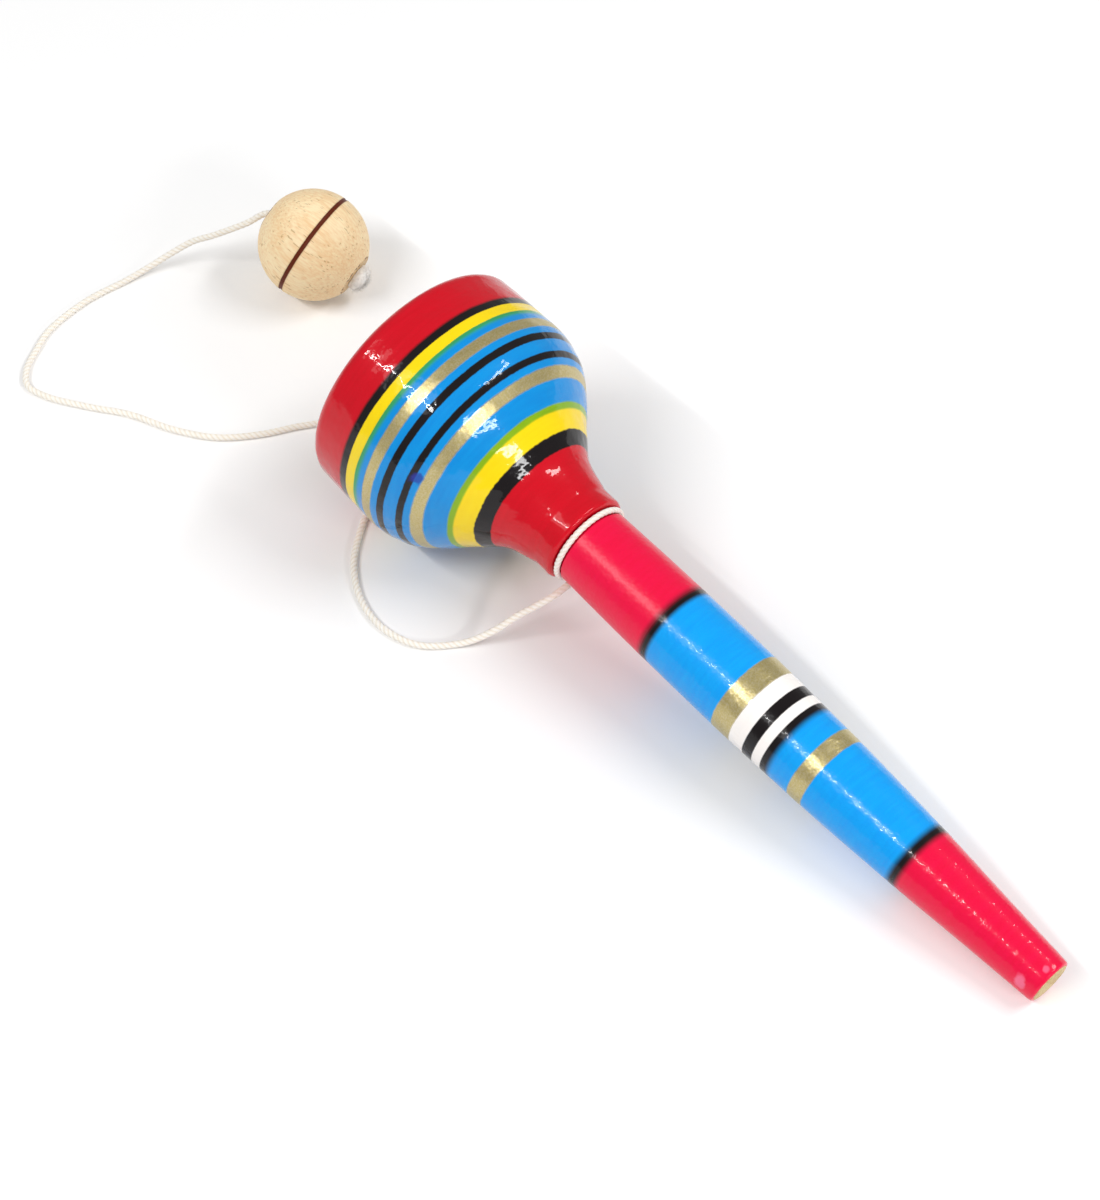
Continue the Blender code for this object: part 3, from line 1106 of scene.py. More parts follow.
def revolve(
    name: str, profile: Profile, segments: int, axis: Axis, ripple: Ripple | None = None
) -> bpy.types.Object:
    """Turn a profile about an axis.

    Args:
        name: Name of the piece.
        profile: (radius, height) points that run down the outer side.
        segments: Number of steps round the axis.
        axis: Axis to turn about.
        ripple: Offset of the outer side's points along the radius.

    Returns:
        The piece, with its vertices in the frame.
    """
    on_axis = 1e-7
    angles = np.linspace(0.0, FULL_TURN, segments, endpoint=False)
    vertices: list[tuple[float, float, float]] = []
    rows: list[list[int]] = []
    for radius, height in profile:
        if radius < on_axis:
            rows.append([len(vertices)])
            vertices.append((0.0, 0.0, height))
            continue
        heights = np.full(segments, height)
        radii = np.full(segments, radius)
        if ripple is not None:
            radii = radii + ripple(angles, heights)
        rows.append(list(range(len(vertices), len(vertices) + segments)))
        vertices.extend(zip(radii * np.cos(angles), radii * np.sin(angles), heights))
    faces: Faces = []
    for upper, lower in zip(rows, rows[1:]):
        for step in range(segments):
            after = (step + 1) % segments
            if len(upper) == 1:
                faces.append((upper[0], lower[step], lower[after]))
            elif len(lower) == 1:
                faces.append((upper[step], lower[0], upper[after]))
            else:
                faces.append((upper[step], lower[step], lower[after], upper[after]))
    piece = make_piece(name, vertices, faces)
    piece.data.transform(axis.matrix)
    piece.data.set_sharp_from_angle(angle=SHARP_EDGE)
    return piece


def laid_tube(name: str, path: np.ndarray, radius: float, pitch: float, sides: int = 24) -> bpy.types.Object:
    """Make a string of three strands laid round each other.

    Args:
        name: Name of the piece.
        path: Middle of the string.
        radius: Radius over the strands.
        pitch: Length of one full turn of a strand.
        sides: Number of points round the string.

    Returns:
        The piece, with the lay of its strands as a point attribute.
    """
    strand_offset = 0.26 * radius
    strand_radius = 0.74 * radius
    half_strand = math.pi / 3.0
    near_upright = 0.9
    tangents = np.gradient(path, axis=0)
    tangents /= np.linalg.norm(tangents, axis=1)[:, None]
    upright = abs(tangents[0][2]) >= near_upright
    normal = np.cross(tangents[0], np.array([1.0, 0.0, 0.0]) if upright else np.array([0.0, 0.0, 1.0]))
    around = np.linspace(0.0, FULL_TURN, sides, endpoint=False)
    vertices = []
    lay = []
    for place, tangent, length in zip(path, tangents, running_length(path)):
        normal = normal - tangent * np.dot(normal, tangent)
        normal /= np.linalg.norm(normal)
        side = np.cross(tangent, normal)
        turn = FULL_TURN * length / pitch
        lobe = np.mod(around - turn + half_strand, 2.0 * half_strand) - half_strand
        reach = strand_offset * np.cos(lobe)
        reach = reach + np.sqrt(np.maximum(strand_radius ** 2 - (strand_offset * np.sin(lobe)) ** 2, 0.0))
        for angle, out in zip(around, reach):
            vertices.append(tuple(place + out * (math.cos(angle) * normal + math.sin(angle) * side)))
        # The lay, 1 on a crest and 0 in a furrow, sets where the yarn's material paints shade.
        lay.extend(1.0 - np.abs(lobe) / half_strand)
    return make_piece(name, vertices, tube_faces(0, len(path), sides), np.array(lay))


def settle(piece: bpy.types.Object, body: str, nodes: Sequence[str]) -> bpy.types.Object:
    """Put a piece on its body in place of the plain solids.

    Args:
        piece: The piece.
        body: Body that carries it.
        nodes: Solids that it stands for.

    Returns:
        The piece.
    """
    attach(piece, body)
    if nodes:
        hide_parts(*nodes)
    LOG.info("%s rides on %s with %d vertices", piece.name, body, len(piece.data.vertices))
    return piece


@dataclass
class Stick:
    """The turned cup and the handle that is glued into its neck.

    A step of the flare or of the belly is a share of the way up and a share of the way out. A ripple is a
    seed, a depth and a shortest wave.
    """

    fit_gap: float = 0.3 * MM
    cup_length: float = 59.8 * MM
    cup_radius: float = 30.6 * MM
    swell_height: float = 39.7 * MM
    flare_steps: tuple[tuple[float, float], ...] = ((0.22, 0.11), (0.43, 0.39), (0.62, 0.70), (0.80, 0.92))
    rim_taper: float = 0.5 * MM
    belt_taper: float = 0.3
    rim_edge: float = 3.0 * MM
    rim_flat: float = 1.8 * MM
    mouth_edge: float = 0.8 * MM
    mouth_wall: float = 4.0 * MM
    cup_floor: float = 7.3 * MM
    neck_radius: float = 11.15 * MM
    neck_edge: float = 1.0 * MM
    neck_length: float = 5.0 * MM
    handle_length: float = 139.9 * MM
    handle_radius: float = 10.05 * MM
    handle_end_radius: float = 9.6 * MM
    tip_radius: float = 5.5 * MM
    tip_dome: float = 0.4 * MM
    tip_edge: float = 0.7 * MM
    belly_fraction: float = 0.70
    belly_drop: float = 0.2
    belly_steps: tuple[tuple[float, float], ...] = ((0.19, 0.26), (0.38, 0.55), (0.69, 0.87))
    tenon_radius: float = 6.0 * MM
    tenon_length: float = 16.0 * MM
    tenon_end_gap: float = 0.5 * MM
    groove_depth: float = 0.9 * MM
    string_diameter: float = 1.6 * MM
    cup_ripple: tuple[int, float, float] = (5, 0.05 * MM, 3.0 * MM)
    handle_ripple: tuple[int, float, float] = (8, 0.015 * MM, 4.0 * MM)
    cup_segments: int = 256
    handle_segments: int = 192
    bowl_points: int = 48
    cup_points: int = 150
    neck_points: int = 8
    handle_points: int = 240
    tip_points: int = 14
    axis: Axis = field(init=False)

    def __post_init__(self) -> None:
        """Find the stick's axis from the rim's face and the tip's rest on the table."""
        rim = next(mount for mount in frame["record"]["mounts"] if mount["name"] == "rim")
        along = Vector(rim["axis"]).normalized()
        above = Vector((along.z, 0.0, -along.x))
        low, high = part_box("handle")
        tip_height = self.tip_radius * above.z
        reach = Vector(rim["pos_m"]).dot(along) - self.rim_height - tip_height * along.z
        tip = Vector((reach / along.x, 0.5 * (low.y + high.y), tip_height))
        self.axis = Axis(tip, along, above)

    @property
    def neck_height(self) -> float:
        """Distance from the handle's end to the cup's lower face."""
        return self.handle_length + self.fit_gap

    @property
    def rim_height(self) -> float:
        """Distance from the handle's end to the cup's rim."""
        return self.handle_length + self.fit_gap + self.cup_length

    @property
    def mouth_radius(self) -> float:
        """Radius of the bowl at its mouth."""
        return self.cup_radius - self.rim_taper - self.rim_edge - self.rim_flat - self.mouth_edge

    @property
    def socket_top(self) -> float:
        """Distance from the handle's end to the end of the neck's socket."""
        return self.neck_height + self.tenon_length + self.tenon_end_gap

    def bowl_profile(self) -> Profile:
        """Find the inside of the cup from its bottom to the edge of the mouth.

        Returns:
            Its (radius, height) points.
        """
        bottom = self.socket_top + self.cup_floor
        top = self.rim_height - self.mouth_wall
        line = []
        for angle in np.linspace(0.0, math.pi / 2.0, self.bowl_points):
            line.append((self.mouth_radius * math.sin(angle), top - (top - bottom) * math.cos(angle)))
        return line + [(self.mouth_radius, self.rim_height - self.mouth_edge)]

    def shell_profile(self) -> Profile:
        """Find the cup's painted side from the mouth's edge over the rim and down to the neck's socket.

        Returns:
            Its (radius, height) points.
        """
        face = self.neck_height
        rim = self.rim_height
        rim_radius = self.cup_radius - self.rim_taper
        mouth = (self.mouth_radius + self.mouth_edge, rim - self.mouth_edge)
        inside = arc(mouth, self.mouth_edge, 180.0, 90.0)
        outside = arc((rim_radius - self.rim_edge, rim - self.rim_edge), self.rim_edge, 90.0, 0.0)
        swell = face + self.swell_height
        neck_end = face + self.neck_length
        flare = [(neck_end, self.neck_radius)]
        for along, out in self.flare_steps:
            height = neck_end + along * (swell - neck_end)
            flare.append((height, self.neck_radius + out * (self.cup_radius - self.neck_radius)))
        flare.append((swell, self.cup_radius))
        belt_end = rim - self.rim_edge
        flare.append((swell + 0.5 * (belt_end - swell), self.cup_radius - self.belt_taper * self.rim_taper))
        flare.append((belt_end, rim_radius))
        side = turned_line(flare, self.cup_points)
        neck = arc((self.neck_radius - self.neck_edge, face + self.neck_edge), self.neck_edge, 0.0, -90.0)
        heights = np.linspace(neck_end, face + self.neck_edge, self.neck_points)
        straight = [(self.neck_radius, height) for height in heights[1:-1]]
        socket_radius = self.tenon_radius + self.fit_gap
        socket = [(socket_radius, face), (socket_radius, self.socket_top), (0.0, self.socket_top)]
        return inside + outside + side[1:] + straight + neck + socket

    def handle_profile(self) -> Profile:
        """Find the handle's painted side from its tenon down to the edge of its tip.

        Returns:
            Its (radius, height) points.
        """
        shoulder = self.handle_length
        tenon_top = shoulder + self.fit_gap + self.tenon_length
        groove = self.handle_end_radius - self.groove_depth
        groove_start = shoulder - self.string_diameter - self.fit_gap
        tenon = [
            (0.0, tenon_top), (self.tenon_radius, tenon_top), (self.tenon_radius, shoulder),
            (groove, shoulder), (groove, groove_start),
        ]
        belly = self.belly_fraction * groove_start
        stations = [(0.0, self.tip_radius)]
        for along, out in self.belly_steps:
            stations.append((along * belly, self.tip_radius + out * (self.handle_radius - self.tip_radius)))
        stations.append((belly, self.handle_radius))
        drop = self.belly_drop * (self.handle_radius - self.handle_end_radius)
        stations.append((0.5 * (belly + groove_start), self.handle_radius - drop))
        stations.append((groove_start, self.handle_end_radius))
        side = [point for point in turned_line(stations, self.handle_points) if point[1] > self.tip_edge]
        return tenon + side + arc((self.tip_radius - self.tip_edge, self.tip_edge), self.tip_edge, 0.0, -90.0)

    def tip_profile(self) -> Profile:
        """Find the bare end of the handle from its painted edge to its middle.

        Returns:
            Its (radius, height) points.
        """
        face = self.tip_radius - self.tip_edge
        angles = np.linspace(0.0, math.pi / 2.0, self.tip_points)
        dome = [(face * math.cos(a), -self.tip_dome * math.sin(a)) for a in angles]
        dome[-1] = (0.0, -self.tip_dome)
        return dome

    def build(self, effects: Effects) -> list[bpy.types.Object]:
        """Build the stick's pieces and dress them.

        Args:
            effects: The shared node groups.

        Returns:
            The pieces.
        """
        cup = (self.cup_segments, "cup_lacquer")
        handle = (self.handle_segments, "handle_lacquer")
        parts = (
            ("cup_shell", cup, self.shell_profile(), lacquer_ripple(*self.cup_ripple), CUP_LACQUER, ["cup"]),
            ("cup_bowl", cup, self.bowl_profile(), None, BOWL_WOOD, []),
            (
                "handle_grip", handle, self.handle_profile(), lacquer_ripple(*self.handle_ripple),
                HANDLE_LACQUER, ["handle"],
            ),
            ("handle_tip", handle, self.tip_profile(), None, TIP_WOOD, []),
        )
        pieces = []
        for name, (segments, slot), profile, ripple, finish, nodes in parts:
            piece = revolve(name, profile, segments, self.axis, ripple)
            piece.data.materials.append(finish.build(effects, self.axis))
            pieces.append(settle(piece, "stick", nodes))
        return pieces


@dataclass
class Ball:
    """The turned ball with its burnt line and its bore."""

    radius: float = 14.0 * MM
    flat_radius: float = 4.5 * MM
    end_flat_radius: float = 5.4 * MM
    bore_radius: float = 1.4 * MM
    mouth_radius: float = 2.4 * MM
    sink_depth: float = 1.2 * MM
    burn_width: float = 0.98 * MM
    burn_depth: float = 0.15 * MM
    burn_sweep: float = 1.4
    burn_points: int = 9
    side_points: int = 48
    segments: int = 192
    axis: Axis = field(init=False)

    def __post_init__(self) -> None:
        """Take the bore's axis from the joint that the ball spins on."""
        spin = next(joint for joint in frame["joints"] if joint["name"] == "ball_spin")
        aim = Vector(spin["axis"]).normalized()
        self.axis = Axis(Vector(spin["pos_m"]), aim, aim.orthogonal().normalized())

    @property
    def flat_height(self) -> float:
        """Distance from the ball's middle to the flat where the string goes in."""
        return math.sqrt(self.radius ** 2 - self.flat_radius ** 2)

    @property
    def end_height(self) -> float:
        """Distance from the ball's middle to the wider flat under the end knot."""
        return math.sqrt(self.radius ** 2 - self.end_flat_radius ** 2)

    def profile(self) -> Profile:
        """Find the closed profile from the bore's mouth over the ball and back up the bore.

        Returns:
            Its (radius, height) points.
        """
        line_angle = math.degrees(math.asin(0.5 * self.burn_width / self.radius))
        end_angle = math.degrees(math.acos(self.end_flat_radius / self.radius))
        flat_angle = math.degrees(math.acos(self.flat_radius / self.radius))
        upper = arc((0.0, 0.0), self.radius, end_angle, line_angle, self.side_points)
        lower = arc((0.0, 0.0), self.radius, -line_angle, -flat_angle, self.side_points)
        burn = []
        for angle in np.linspace(self.burn_sweep, -self.burn_sweep, self.burn_points):
            depth = self.burn_depth * math.cos(angle)
            burn.append((self.radius - depth, 0.5 * self.burn_width * math.sin(angle)))
        end = upper[0][1]
        flat = lower[-1][1]
        top = [(self.bore_radius, end - self.sink_depth), (self.mouth_radius, end)]
        bottom = [(self.mouth_radius, flat), (self.bore_radius, flat + self.sink_depth)]
        return top + upper + burn + lower + bottom + top[:1]

    def build(self, effects: Effects) -> bpy.types.Object:
        """Build the ball and dress it.

        Args:
            effects: The shared node groups.

        Returns:
            The ball.
        """
        ball = revolve("ball_wood", self.profile(), self.segments, self.axis)
        ball.data.materials.append(BALL_WOOD.build(effects, self.axis))
        return settle(ball, "ball", ["ball"])


@dataclass
class StringLine:
    """The one length of string: its turn round the joint, its knots and its free length.

    A swell of the tuft is a number of waves, their rate and their height. The route is where the middle of
    the string lies, in millimetres.
    """

    diameter: float = 1.6 * MM
    pitch: float = 4.0 * MM
    step: float = 0.3 * MM
    pull: float = 0.88
    fluff: float = 1.06
    tie_radius: float = 1.6 * MM
    stopper_radius: float = 1.9 * MM
    stopper_seat: float = 1.2 * MM
    fit_gap: float = 0.3 * MM
    lip_reach: float = 1.2 * MM
    lip_sag: float = 1.4 * MM
    throat_depth: float = 0.9 * MM
    throat_sag: float = 0.15 * MM
    straight_depth: float = 4.0 * MM
    turn_points: int = 180
    turn_end_points: int = 16
    knot_yarn: float = 0.40
    knot_rise: float = 0.72
    knot_pitch: float = 1.3
    knot_points: int = 150
    tuft_seed: int = 11
    tuft_radius: float = 3.4 * MM
    tuft_flat: float = 0.5
    tuft_gap: float = 0.05 * MM
    tuft_sides: int = 72
    tuft_rows: int = 44
    tuft_pole: float = 0.02
    tuft_swells: tuple[tuple[int, float, float], ...] = ((7, 2.2, 0.3), (9, 7.0, 0.12))
    tuft_fibres: int = 1100
    fibre_radius: float = 0.042 * MM
    fibre_thinning: float = 0.5
    fibre_root: float = 0.96
    fibre_spread: float = 95.0
    fibre_stray: float = 0.9
    fibre_curl: tuple[float, float] = (1.0, 2.6)
    fibre_length: tuple[float, float] = (0.8 * MM, 1.9 * MM)
    fibre_rings: int = 8
    fibre_sides: int = 3
    route_mm: tuple[tuple[float, float, float], ...] = (
        (-1.8, -12.3, 12.0), (-3.9, -16.0, 9.5), (-6.1, -19.7, 7.0), (-7.9, -23.6, 4.5),
        (-10.0, -27.4, 2.4), (-12.7, -31.3, 1.0), (-18.8, -38.3, 0.85), (-27.8, -41.0, 0.85),
        (-37.9, -39.2, 0.85), (-47.5, -33.2, 0.85), (-53.6, -26.1, 0.85), (-58.5, -19.1, 0.85),
        (-63.9, -12.4, 0.85), (-70.9, -6.6, 0.85), (-78.3, -5.0, 0.85), (-84.3, -8.0, 0.85),
        (-88.8, -14.3, 0.85), (-93.7, -23.9, 0.85), (-100.1, -32.3, 0.85), (-109.2, -38.4, 0.85),
        (-120.3, -43.1, 0.85), (-129.8, -49.3, 0.85), (-139.3, -54.6, 0.85), (-145.3, -55.8, 0.85),
        (-150.1, -52.6, 0.85), (-154.0, -46.8, 0.85), (-157.3, -40.4, 0.85), (-159.3, -27.4, 0.85),
        (-158.3, -15.6, 0.95), (-157.1, -8.6, 2.2), (-155.3, -2.9, 4.4), (-152.3, 2.0, 7.4),
        (-148.2, 5.5, 10.0), (-144.7, 8.7, 12.5), (-141.6, 12.0, 14.8),
    )

    def build(self, stick: Stick, ball: Ball) -> list[bpy.types.Object]:
        """Build the string's pieces and dress them.

        Args:
            stick: The stick that it is tied to.
            ball: The ball that it holds.

        Returns:
            The pieces.
        """
        cotton = STRING_COTTON.build()
        fluff = TUFT_COTTON.build()
        swing = next(joint for joint in frame["joints"] if joint["name"] == "string_swing")
        tie = Vector(swing["pos_m"])
        aim = ball.axis.along
        stopper = ball.axis.origin + aim * (ball.end_height + self.stopper_seat)
        leave = (Vector(self.route_mm[0]) * MM - tie).normalized()
        exit_place = tie + leave * (self.tie_radius + self.fit_gap)
        path = self._line_path(ball, tie, exit_place, stopper)
        turn_path = self._turn_path(stick, tie)
        tie_aim = (tie - stick.axis.origin).normalized()
        line = laid_tube("string_line", path, 0.5 * self.fluff * self.diameter, self.pitch)
        collar = laid_tube("string_turn", turn_path, 0.5 * self.pull * self.diameter, self.pitch)
        tie_knot = self._knot("string_tie", tie, tie_aim, self.tie_radius)
        end_knot = self._knot("string_stopper", stopper, aim, self.stopper_radius)
        tuft = self._tuft("string_tuft", stopper, aim)
        parts = (
            (line, cotton, "string", ["string"]),
            (collar, cotton, "stick", ["string_collar"]),
            (tie_knot, cotton, "stick", ["tie_knot"]),
            (end_knot, fluff, "string", ["stopper_knot"]),
            (tuft, fluff, "string", []),
        )
        for piece, finish, body, nodes in parts:
            piece.data.materials.append(finish)
            settle(piece, body, nodes)
        return [line, collar, tie_knot, end_knot, tuft]

    def _line_path(self, ball: Ball, tie: Vector, exit_place: Vector, stopper: Vector) -> np.ndarray:
        """Find the middle of the free string, which sags over the lip of the ball's bore.

        Args:
            ball: The ball that it holds.
            tie: Middle of the tie knot.
            exit_place: Point where it leaves that knot.
            stopper: Middle of the stopper knot.

        Returns:
            Points along it.
        """
        aim = ball.axis.along
        mouth = ball.axis.origin - aim * ball.flat_height
        sag = (aim * aim.z - Vector((0.0, 0.0, 1.0))).normalized()
        lip = mouth - aim * self.lip_reach + sag * self.lip_sag
        throat = mouth + aim * self.throat_depth + sag * self.throat_sag
        straight = mouth + aim * self.straight_depth
        route = [Vector(place) * MM for place in self.route_mm]
        return smooth_curve([tie, exit_place] + route + [lip, throat, straight, stopper], self.step)

    def _turn_path(self, stick: Stick, tie: Vector) -> np.ndarray:
        """Find the middle of the turn round the joint, with its straight ends at the tie knot.

        Args:
            stick: The stick that it goes round.
            tie: Middle of the tie knot.

        Returns:
            Points along it.
        """
        axis = stick.axis
        centre = axis.origin + axis.along * (stick.handle_length - 0.5 * self.diameter)
        radius = stick.handle_end_radius - stick.groove_depth + self.fit_gap + 0.5 * self.diameter
        out = tie - centre
        out -= axis.along * out.dot(axis.along)
        lift = math.acos(radius / out.length)
        out.normalize()
        turn = axis.along.cross(out)
        loop = []
        for angle in np.linspace(lift, FULL_TURN - lift, self.turn_points):
            loop.append(centre + radius * (out * math.cos(angle) + turn * math.sin(angle)))
        reach = 0.5 * self.tie_radius
        first_share = 1.0 - reach / (tie - loop[0]).length
        last_share = 1.0 - reach / (tie - loop[-1]).length
        first = [loop[0].lerp(tie, share) for share in np.linspace(first_share, 0.0, self.turn_end_points)]
        last = [loop[-1].lerp(tie, share) for share in np.linspace(0.0, last_share, self.turn_end_points)]
        return np.array([list(place) for place in first + loop[1:-1] + last])

    def _knot(self, name: str, centre: Vector, aim: Vector, radius: float) -> bpy.types.Object:
        """Make a tight overhand knot.

        Args:
            name: Name of the piece.
            centre: Its middle.
            aim: Direction that its loops go round.
            radius: Its outer radius.

        Returns:
            The knot.
        """
        yarn = self.knot_yarn * radius
        turn = aim.to_track_quat("Z", "Y").to_matrix()
        path = []
        for angle in np.linspace(0.0, FULL_TURN, self.knot_points):
            place = Vector((
                (math.sin(angle) + 2.0 * math.sin(2.0 * angle)) / 3.0,
                (math.cos(angle) - 2.0 * math.cos(2.0 * angle)) / 3.0,
                -self.knot_rise * math.sin(3.0 * angle),
            ))
            path.append(centre + turn @ (place * (radius - yarn)))
        return laid_tube(name, np.array([list(place) for place in path]), yarn, self.knot_pitch * radius)

    def _tuft(self, name: str, centre: Vector, aim: Vector) -> bpy.types.Object:
        """Make the frayed end of the string: a lump of loose cotton over the knot, with fine fibres on it.

        Args:
            name: Name of the piece.
            centre: Middle of the knot.
            aim: Direction that the end points in.

        Returns:
            The tuft.
        """
        random = np.random.default_rng(self.tuft_seed)
        side = aim.orthogonal().normalized()
        other = aim.cross(side)
        seat = self.stopper_seat - self.tuft_gap
        swells = []
        for count, rate, height in self.tuft_swells:
            waves = []
            for _ in range(count):
                wave = Vector(random.normal(0.0, 1.0, 3)) * rate
                waves.append((wave, random.uniform(0.0, PHASES)))
            swells.append((waves, height))

        def outward(angle: float, tilt: float) -> Vector:
            """Return the direction at an angle round the aim and a tilt away from it."""
            return aim * math.cos(tilt) + (side * math.cos(angle) + other * math.sin(angle)) * math.sin(tilt)

        def reach(heading: Vector) -> float:
            """Find the lump's uneven radius.

            Args:
                heading: Direction in which it is measured.

            Returns:
                The radius.
            """
            swell = 0.0
            for waves, height in swells:
                total = sum(math.sin(wave.dot(heading) + phase) for wave, phase in waves)
                swell += height * total / len(waves)
            return self.tuft_radius * (1.0 + swell) * (1.0 - self.tuft_flat * heading.dot(aim) ** 2)

        vertices: list[tuple[float, float, float]] = []
        for row in range(self.tuft_rows + 1):
            tilt = math.pi * (row + self.tuft_pole) / (self.tuft_rows + 2.0 * self.tuft_pole)
            for step in range(self.tuft_sides):
                heading = outward(FULL_TURN * step / self.tuft_sides, tilt)
                offset = heading * reach(heading)
                offset += aim * max(-seat - offset.dot(aim), 0.0)
                vertices.append(tuple(centre + offset))
        faces = [(a, d, c, b) for a, b, c, d in wall_faces(0, self.tuft_rows + 1, self.tuft_sides)]
        for _ in range(self.tuft_fibres):
            angle = random.uniform(0.0, FULL_TURN)
            heading = outward(angle, math.radians(random.uniform(0.0, self.fibre_spread)))
            root = centre + heading * reach(heading) * self.fibre_root
            faces.extend(tube_faces(len(vertices), self.fibre_rings, self.fibre_sides))
            vertices.extend(self._fibre(random, root, heading, (side, other)))
        return make_piece(name, vertices, faces, np.ones(len(vertices)))

    def _fibre(
        self, random: np.random.Generator, root: Vector, heading: Vector, across: tuple[Vector, Vector]
    ) -> list[tuple[float, ...]]:
        """Make the points of one curled fibre of the tuft.

        Args:
            random: Source of its stray, its curl and its length.
            root: Where it starts.
            heading: Direction in which the lump points there.
            across: Two directions across the tuft in which its rings lie.

        Returns:
            Its points, ring after ring.
        """
        side, other = across
        rings = self.fibre_rings
        heading = (heading + Vector(random.normal(0.0, self.fibre_stray, 3))).normalized()
        bend = heading.cross(Vector(random.normal(0.0, 1.0, 3))).normalized()
        curl = random.uniform(*self.fibre_curl) / rings
        stride = random.uniform(*self.fibre_length) / rings
        place = root
        points = []
        for ring in range(rings):
            thick = self.fibre_radius * (1.0 - self.fibre_thinning * ring / rings)
            for corner in range(self.fibre_sides):
                turn = FULL_TURN * corner / self.fibre_sides
                points.append(tuple(place + thick * (side * math.cos(turn) + other * math.sin(turn))))
            heading = (heading + bend * curl).normalized()
            bend = (bend - heading * bend.dot(heading)).normalized()
            place = place + heading * stride
            place.z = max(place.z, 2.0 * self.fibre_radius)
        return points


@dataclass(frozen=True)
class Lamp:
    """A strip lamp.

    Args:
        name: Its name.
        toward: Direction from the toy to the lamp.
        distance: Its distance.
        length: Its long side.
        width: Its short side.
        run: Direction of its long side.
        power: Its power in watts.
    """

    name: str
    toward: tuple[float, float, float]
    distance: float
    length: float
    width: float
    run: tuple[float, float, float]
    power: float


@dataclass
class Studio:
    """The table, the lamps and the camera."""

    table_side: float = 6.0
    sky: float = 0.38
    focal_px: float = 2663.8
    image_height_px: float = 1200.0
    sensor: float = 36.0
    camera_place: tuple[float, float, float] = (0.274792, -0.269079, 0.478914)
    camera_right: tuple[float, float, float] = (0.67911, 0.73404, 0.0)
    camera_up: tuple[float, float, float] = (-0.57148, 0.52872, 0.62759)
    target: tuple[float, float, float] = (0.0, -0.005, 0.02)
    lamps: tuple[Lamp, ...] = (
        Lamp("front_strip", (-0.15, -0.58, 0.80), 1.3, 0.9, 0.02, (1.0, 0.0, 0.0), 5.6),
        Lamp("front_box", (-0.15, -0.58, 0.80), 1.4, 0.8, 0.5, (1.0, 0.0, 0.0), 2.4),
        Lamp("back_strip", (0.40, 0.42, 0.80), 1.3, 0.7, 0.15, (0.5, -0.86, 0.0), 6.5),
        Lamp("end_strip", (0.88, -0.10, 0.46), 1.3, 0.5, 0.1, (0.0, 1.0, 0.0), 4.2),
    )

    def build(self) -> None:
        """Build the table, the lamps, the sky and the camera."""
        self._table()
        for lamp in self.lamps:
            self._lamp(lamp)
        world = bpy.data.worlds.new("soft_sky")
        world.use_nodes = True
        background = world.node_tree.nodes["Background"].inputs
        background["Color"].default_value = (1.0, 1.0, 1.0, 1.0)
        background["Strength"].default_value = self.sky
        bpy.context.scene.world = world
        self._camera()
        bpy.context.scene.view_settings.view_transform = "Standard"

    @staticmethod
    def _placement(place: Vector, right: Vector, up: Vector) -> Matrix:
        """Find the placement of a lamp or camera.

        Args:
            place: Where it stands.
            right: Direction to its right.
            up: Direction upward from it.

        Returns:
            The placement.
        """
        turn = Matrix((right, up, right.cross(up))).transposed().to_4x4()
        return Matrix.Translation(place) @ turn

    def _table(self) -> None:
        """Add the table top."""
        half = 0.5 * self.table_side
        corners = [(-half, -half, 0.0), (half, -half, 0.0), (half, half, 0.0), (-half, half, 0.0)]
        table = make_piece("table_top", corners, [(0, 1, 2, 3)])
        table.data.materials.append(TABLE_TOP.build())

    def _lamp(self, lamp: Lamp) -> None:
        """Add a strip lamp that faces the toy.

        Args:
            lamp: The lamp.
        """
        light = bpy.data.lights.new(lamp.name, "AREA")
        light.shape = "RECTANGLE"
        light.size = lamp.length
        light.size_y = lamp.width
        light.energy = lamp.power
        back = Vector(lamp.toward).normalized()
        run = Vector(lamp.run)
        run = (run - back * run.dot(back)).normalized()
        piece = bpy.data.objects.new(lamp.name, light)
        piece.matrix_world = self._placement(Vector(self.target) + back * lamp.distance, run, back.cross(run))
        bpy.context.scene.collection.objects.link(piece)

    def _camera(self) -> None:
        """Add the camera at the photograph's place."""
        data = bpy.data.cameras.new("camera")
        data.sensor_fit = "VERTICAL"
        data.sensor_height = self.sensor
        data.lens = self.focal_px / self.image_height_px * self.sensor
        right = Vector(self.camera_right).normalized()
        up = Vector(self.camera_up).normalized()
        camera = bpy.data.objects.new("camera", data)
        camera.matrix_world = self._placement(Vector(self.camera_place), right, up)
        bpy.context.scene.collection.objects.link(camera)
        bpy.context.scene.camera = camera


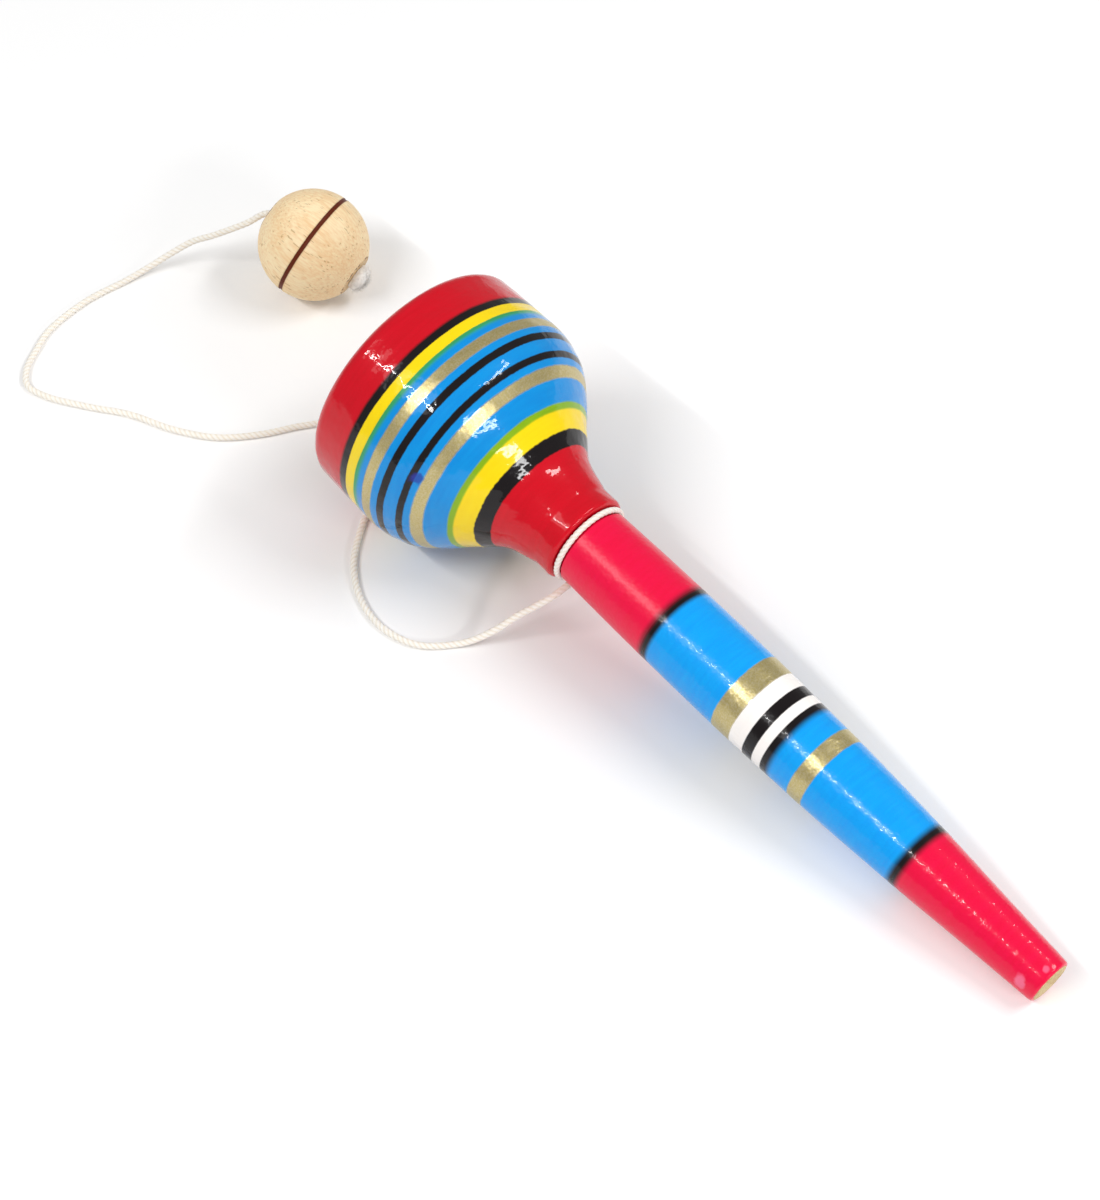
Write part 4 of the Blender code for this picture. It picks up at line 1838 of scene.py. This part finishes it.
CUP_LACQUER = RingLacquer(
    name="cup_ring_lacquer",
    base=Paint.CUP_RED,
    rings=(
        Ring(156.9 * MM, 187.5 * MM, Paint.CUP_BLUE),
        Ring(161.4 * MM, 163.0 * MM, Paint.GREEN, 0.3 * MM, 0.4 * MM),
        Ring(158.0 * MM, 161.9 * MM, Paint.YELLOW, 0.3 * MM, 0.45 * MM),
        Ring(155.5 * MM, 158.4 * MM, Paint.BLACK, ragged=0.08 * MM),
        Ring(166.95 * MM, 169.25 * MM, Paint.GOLD, 0.45 * MM, 0.45 * MM, Sheen.BRONZE, 0.06 * MM),
        Ring(170.65 * MM, 172.05 * MM, Paint.BLACK, ragged=0.05 * MM),
        Ring(175.0 * MM, 176.75 * MM, Paint.BLACK, ragged=0.05 * MM),
        Ring(178.55 * MM, 181.3 * MM, Paint.GOLD, 0.45 * MM, 0.45 * MM, Sheen.BRONZE, 0.06 * MM),
        Ring(183.1 * MM, 185.0 * MM, Paint.SEA_GREEN, 1.4 * MM, 0.2 * MM),
        Ring(184.2 * MM, 187.2 * MM, Paint.YELLOW),
        Ring(186.9 * MM, 189.0 * MM, Paint.BLACK, soft_end=0.9 * MM),
    ),
    smears=(
        Smear((-0.0288, -0.0276, 0.0415), 2.0 * MM, Paint.VIOLET, 0.75),
    ),
    waves=0.25 * MM,
    roughness=0.05,
    dull=0.09,
    bronze_roughness=0.44,
    gloss=0.3,
    haze=0.06,
    squeeze=1.0,
    sags=0.26 * MM,
    wrinkles=0.07 * MM,
    wrinkle_width=1.7 * MM,
)

HANDLE_LACQUER = RingLacquer(
    name="handle_ring_lacquer",
    base=Paint.HANDLE_RED,
    rings=(
        Ring(37.4 * MM, 111.4 * MM, Paint.BLUE),
        Ring(36.3 * MM, 38.7 * MM, Paint.BLACK, 1.9 * MM, 1.9 * MM),
        Ring(63.0 * MM, 67.0 * MM, Paint.GOLD, 0.45 * MM, 0.45 * MM, Sheen.BRONZE, 0.06 * MM),
        Ring(72.8 * MM, 75.4 * MM, Paint.BLACK, 2.0 * MM, 0.1 * MM),
        Ring(75.0 * MM, 77.7 * MM, Paint.WHITE),
        Ring(80.1 * MM, 84.5 * MM, Paint.WHITE),
        Ring(77.45 * MM, 80.3 * MM, Paint.BLACK),
        Ring(84.3 * MM, 89.6 * MM, Paint.GOLD, 0.45 * MM, 0.45 * MM, Sheen.BRONZE, 0.06 * MM),
        Ring(110.2 * MM, 112.5 * MM, Paint.BLACK, 1.5 * MM, 2.4 * MM),
    ),
    smears=(
        Smear((0.1340, -0.0087, 0.0076), 2.0 * MM, Paint.MILK, 0.5),
        Smear((0.1369, -0.0044, 0.0111), 0.9 * MM, Paint.MILK, 0.4),
    ),
    waves=0.15 * MM,
    roughness=0.06,
    dull=0.11,
    bronze_roughness=0.46,
    gloss=0.2,
    haze=0.16,
    squeeze=0.8,
    sags=0.04 * MM,
    wrinkles=0.1 * MM,
    wrinkle_width=1.0 * MM,
    rubbed_from=110.5 * MM,
)

BOWL_WOOD = TurnedWood("bowl_bare_wood", Paint.PALE_WOOD, Paint.TAN_WOOD, 0.45, 0.05 * MM)
TIP_WOOD = TurnedWood("tip_end_grain", Paint.END_GRAIN, Paint.PORE_BROWN, 0.6, 0.05 * MM)
BALL_WOOD = TurnedWood(
    "ball_bare_wood", Paint.PALE_WOOD, Paint.TAN_WOOD, 0.5, 0.04 * MM,
    burn_width=1.1 * MM, torn_ends=(-13.26 * MM, 12.92 * MM),
)
# Both yarns paint shade into the furrows between their strands: the string a darker cream, the end knot plain
# cotton.
STRING_COTTON = LaidCotton("string_cotton", Paint.COTTON, Paint.COTTON_PAINTED_SHADE, fuzz=0.3, glow=0.4)
TUFT_COTTON = LaidCotton("tuft_cotton", Paint.COTTON_FLUFF, Paint.COTTON, fuzz=1.0, glow=0.0)
# The table's own light leaves a painted shadow along the stick, fading in from 10 to 60 mm off its line.
TABLE_TOP = PaleTable(
    "pale_table", Paint.TABLE, lift=0.13, painted_shadow_ends=(-50.0 * MM, 35.0 * MM), painted_shadow_level=-1.4 * MM,
    painted_shadow_reach=(10.0 * MM, 60.0 * MM),
)


def main() -> None:
    """Build the toy's pieces in order, then the studio."""
    logging.basicConfig(level=logging.INFO, format="%(name)s: %(message)s")
    effects = Effects()
    stick = Stick()
    ball = Ball()
    pieces = stick.build(effects)
    pieces.append(ball.build(effects))
    pieces.extend(StringLine().build(stick, ball))
    LOG.info("%d pieces in all", len(pieces))
    Studio().build()


if __name__ == "__main__":
    main()
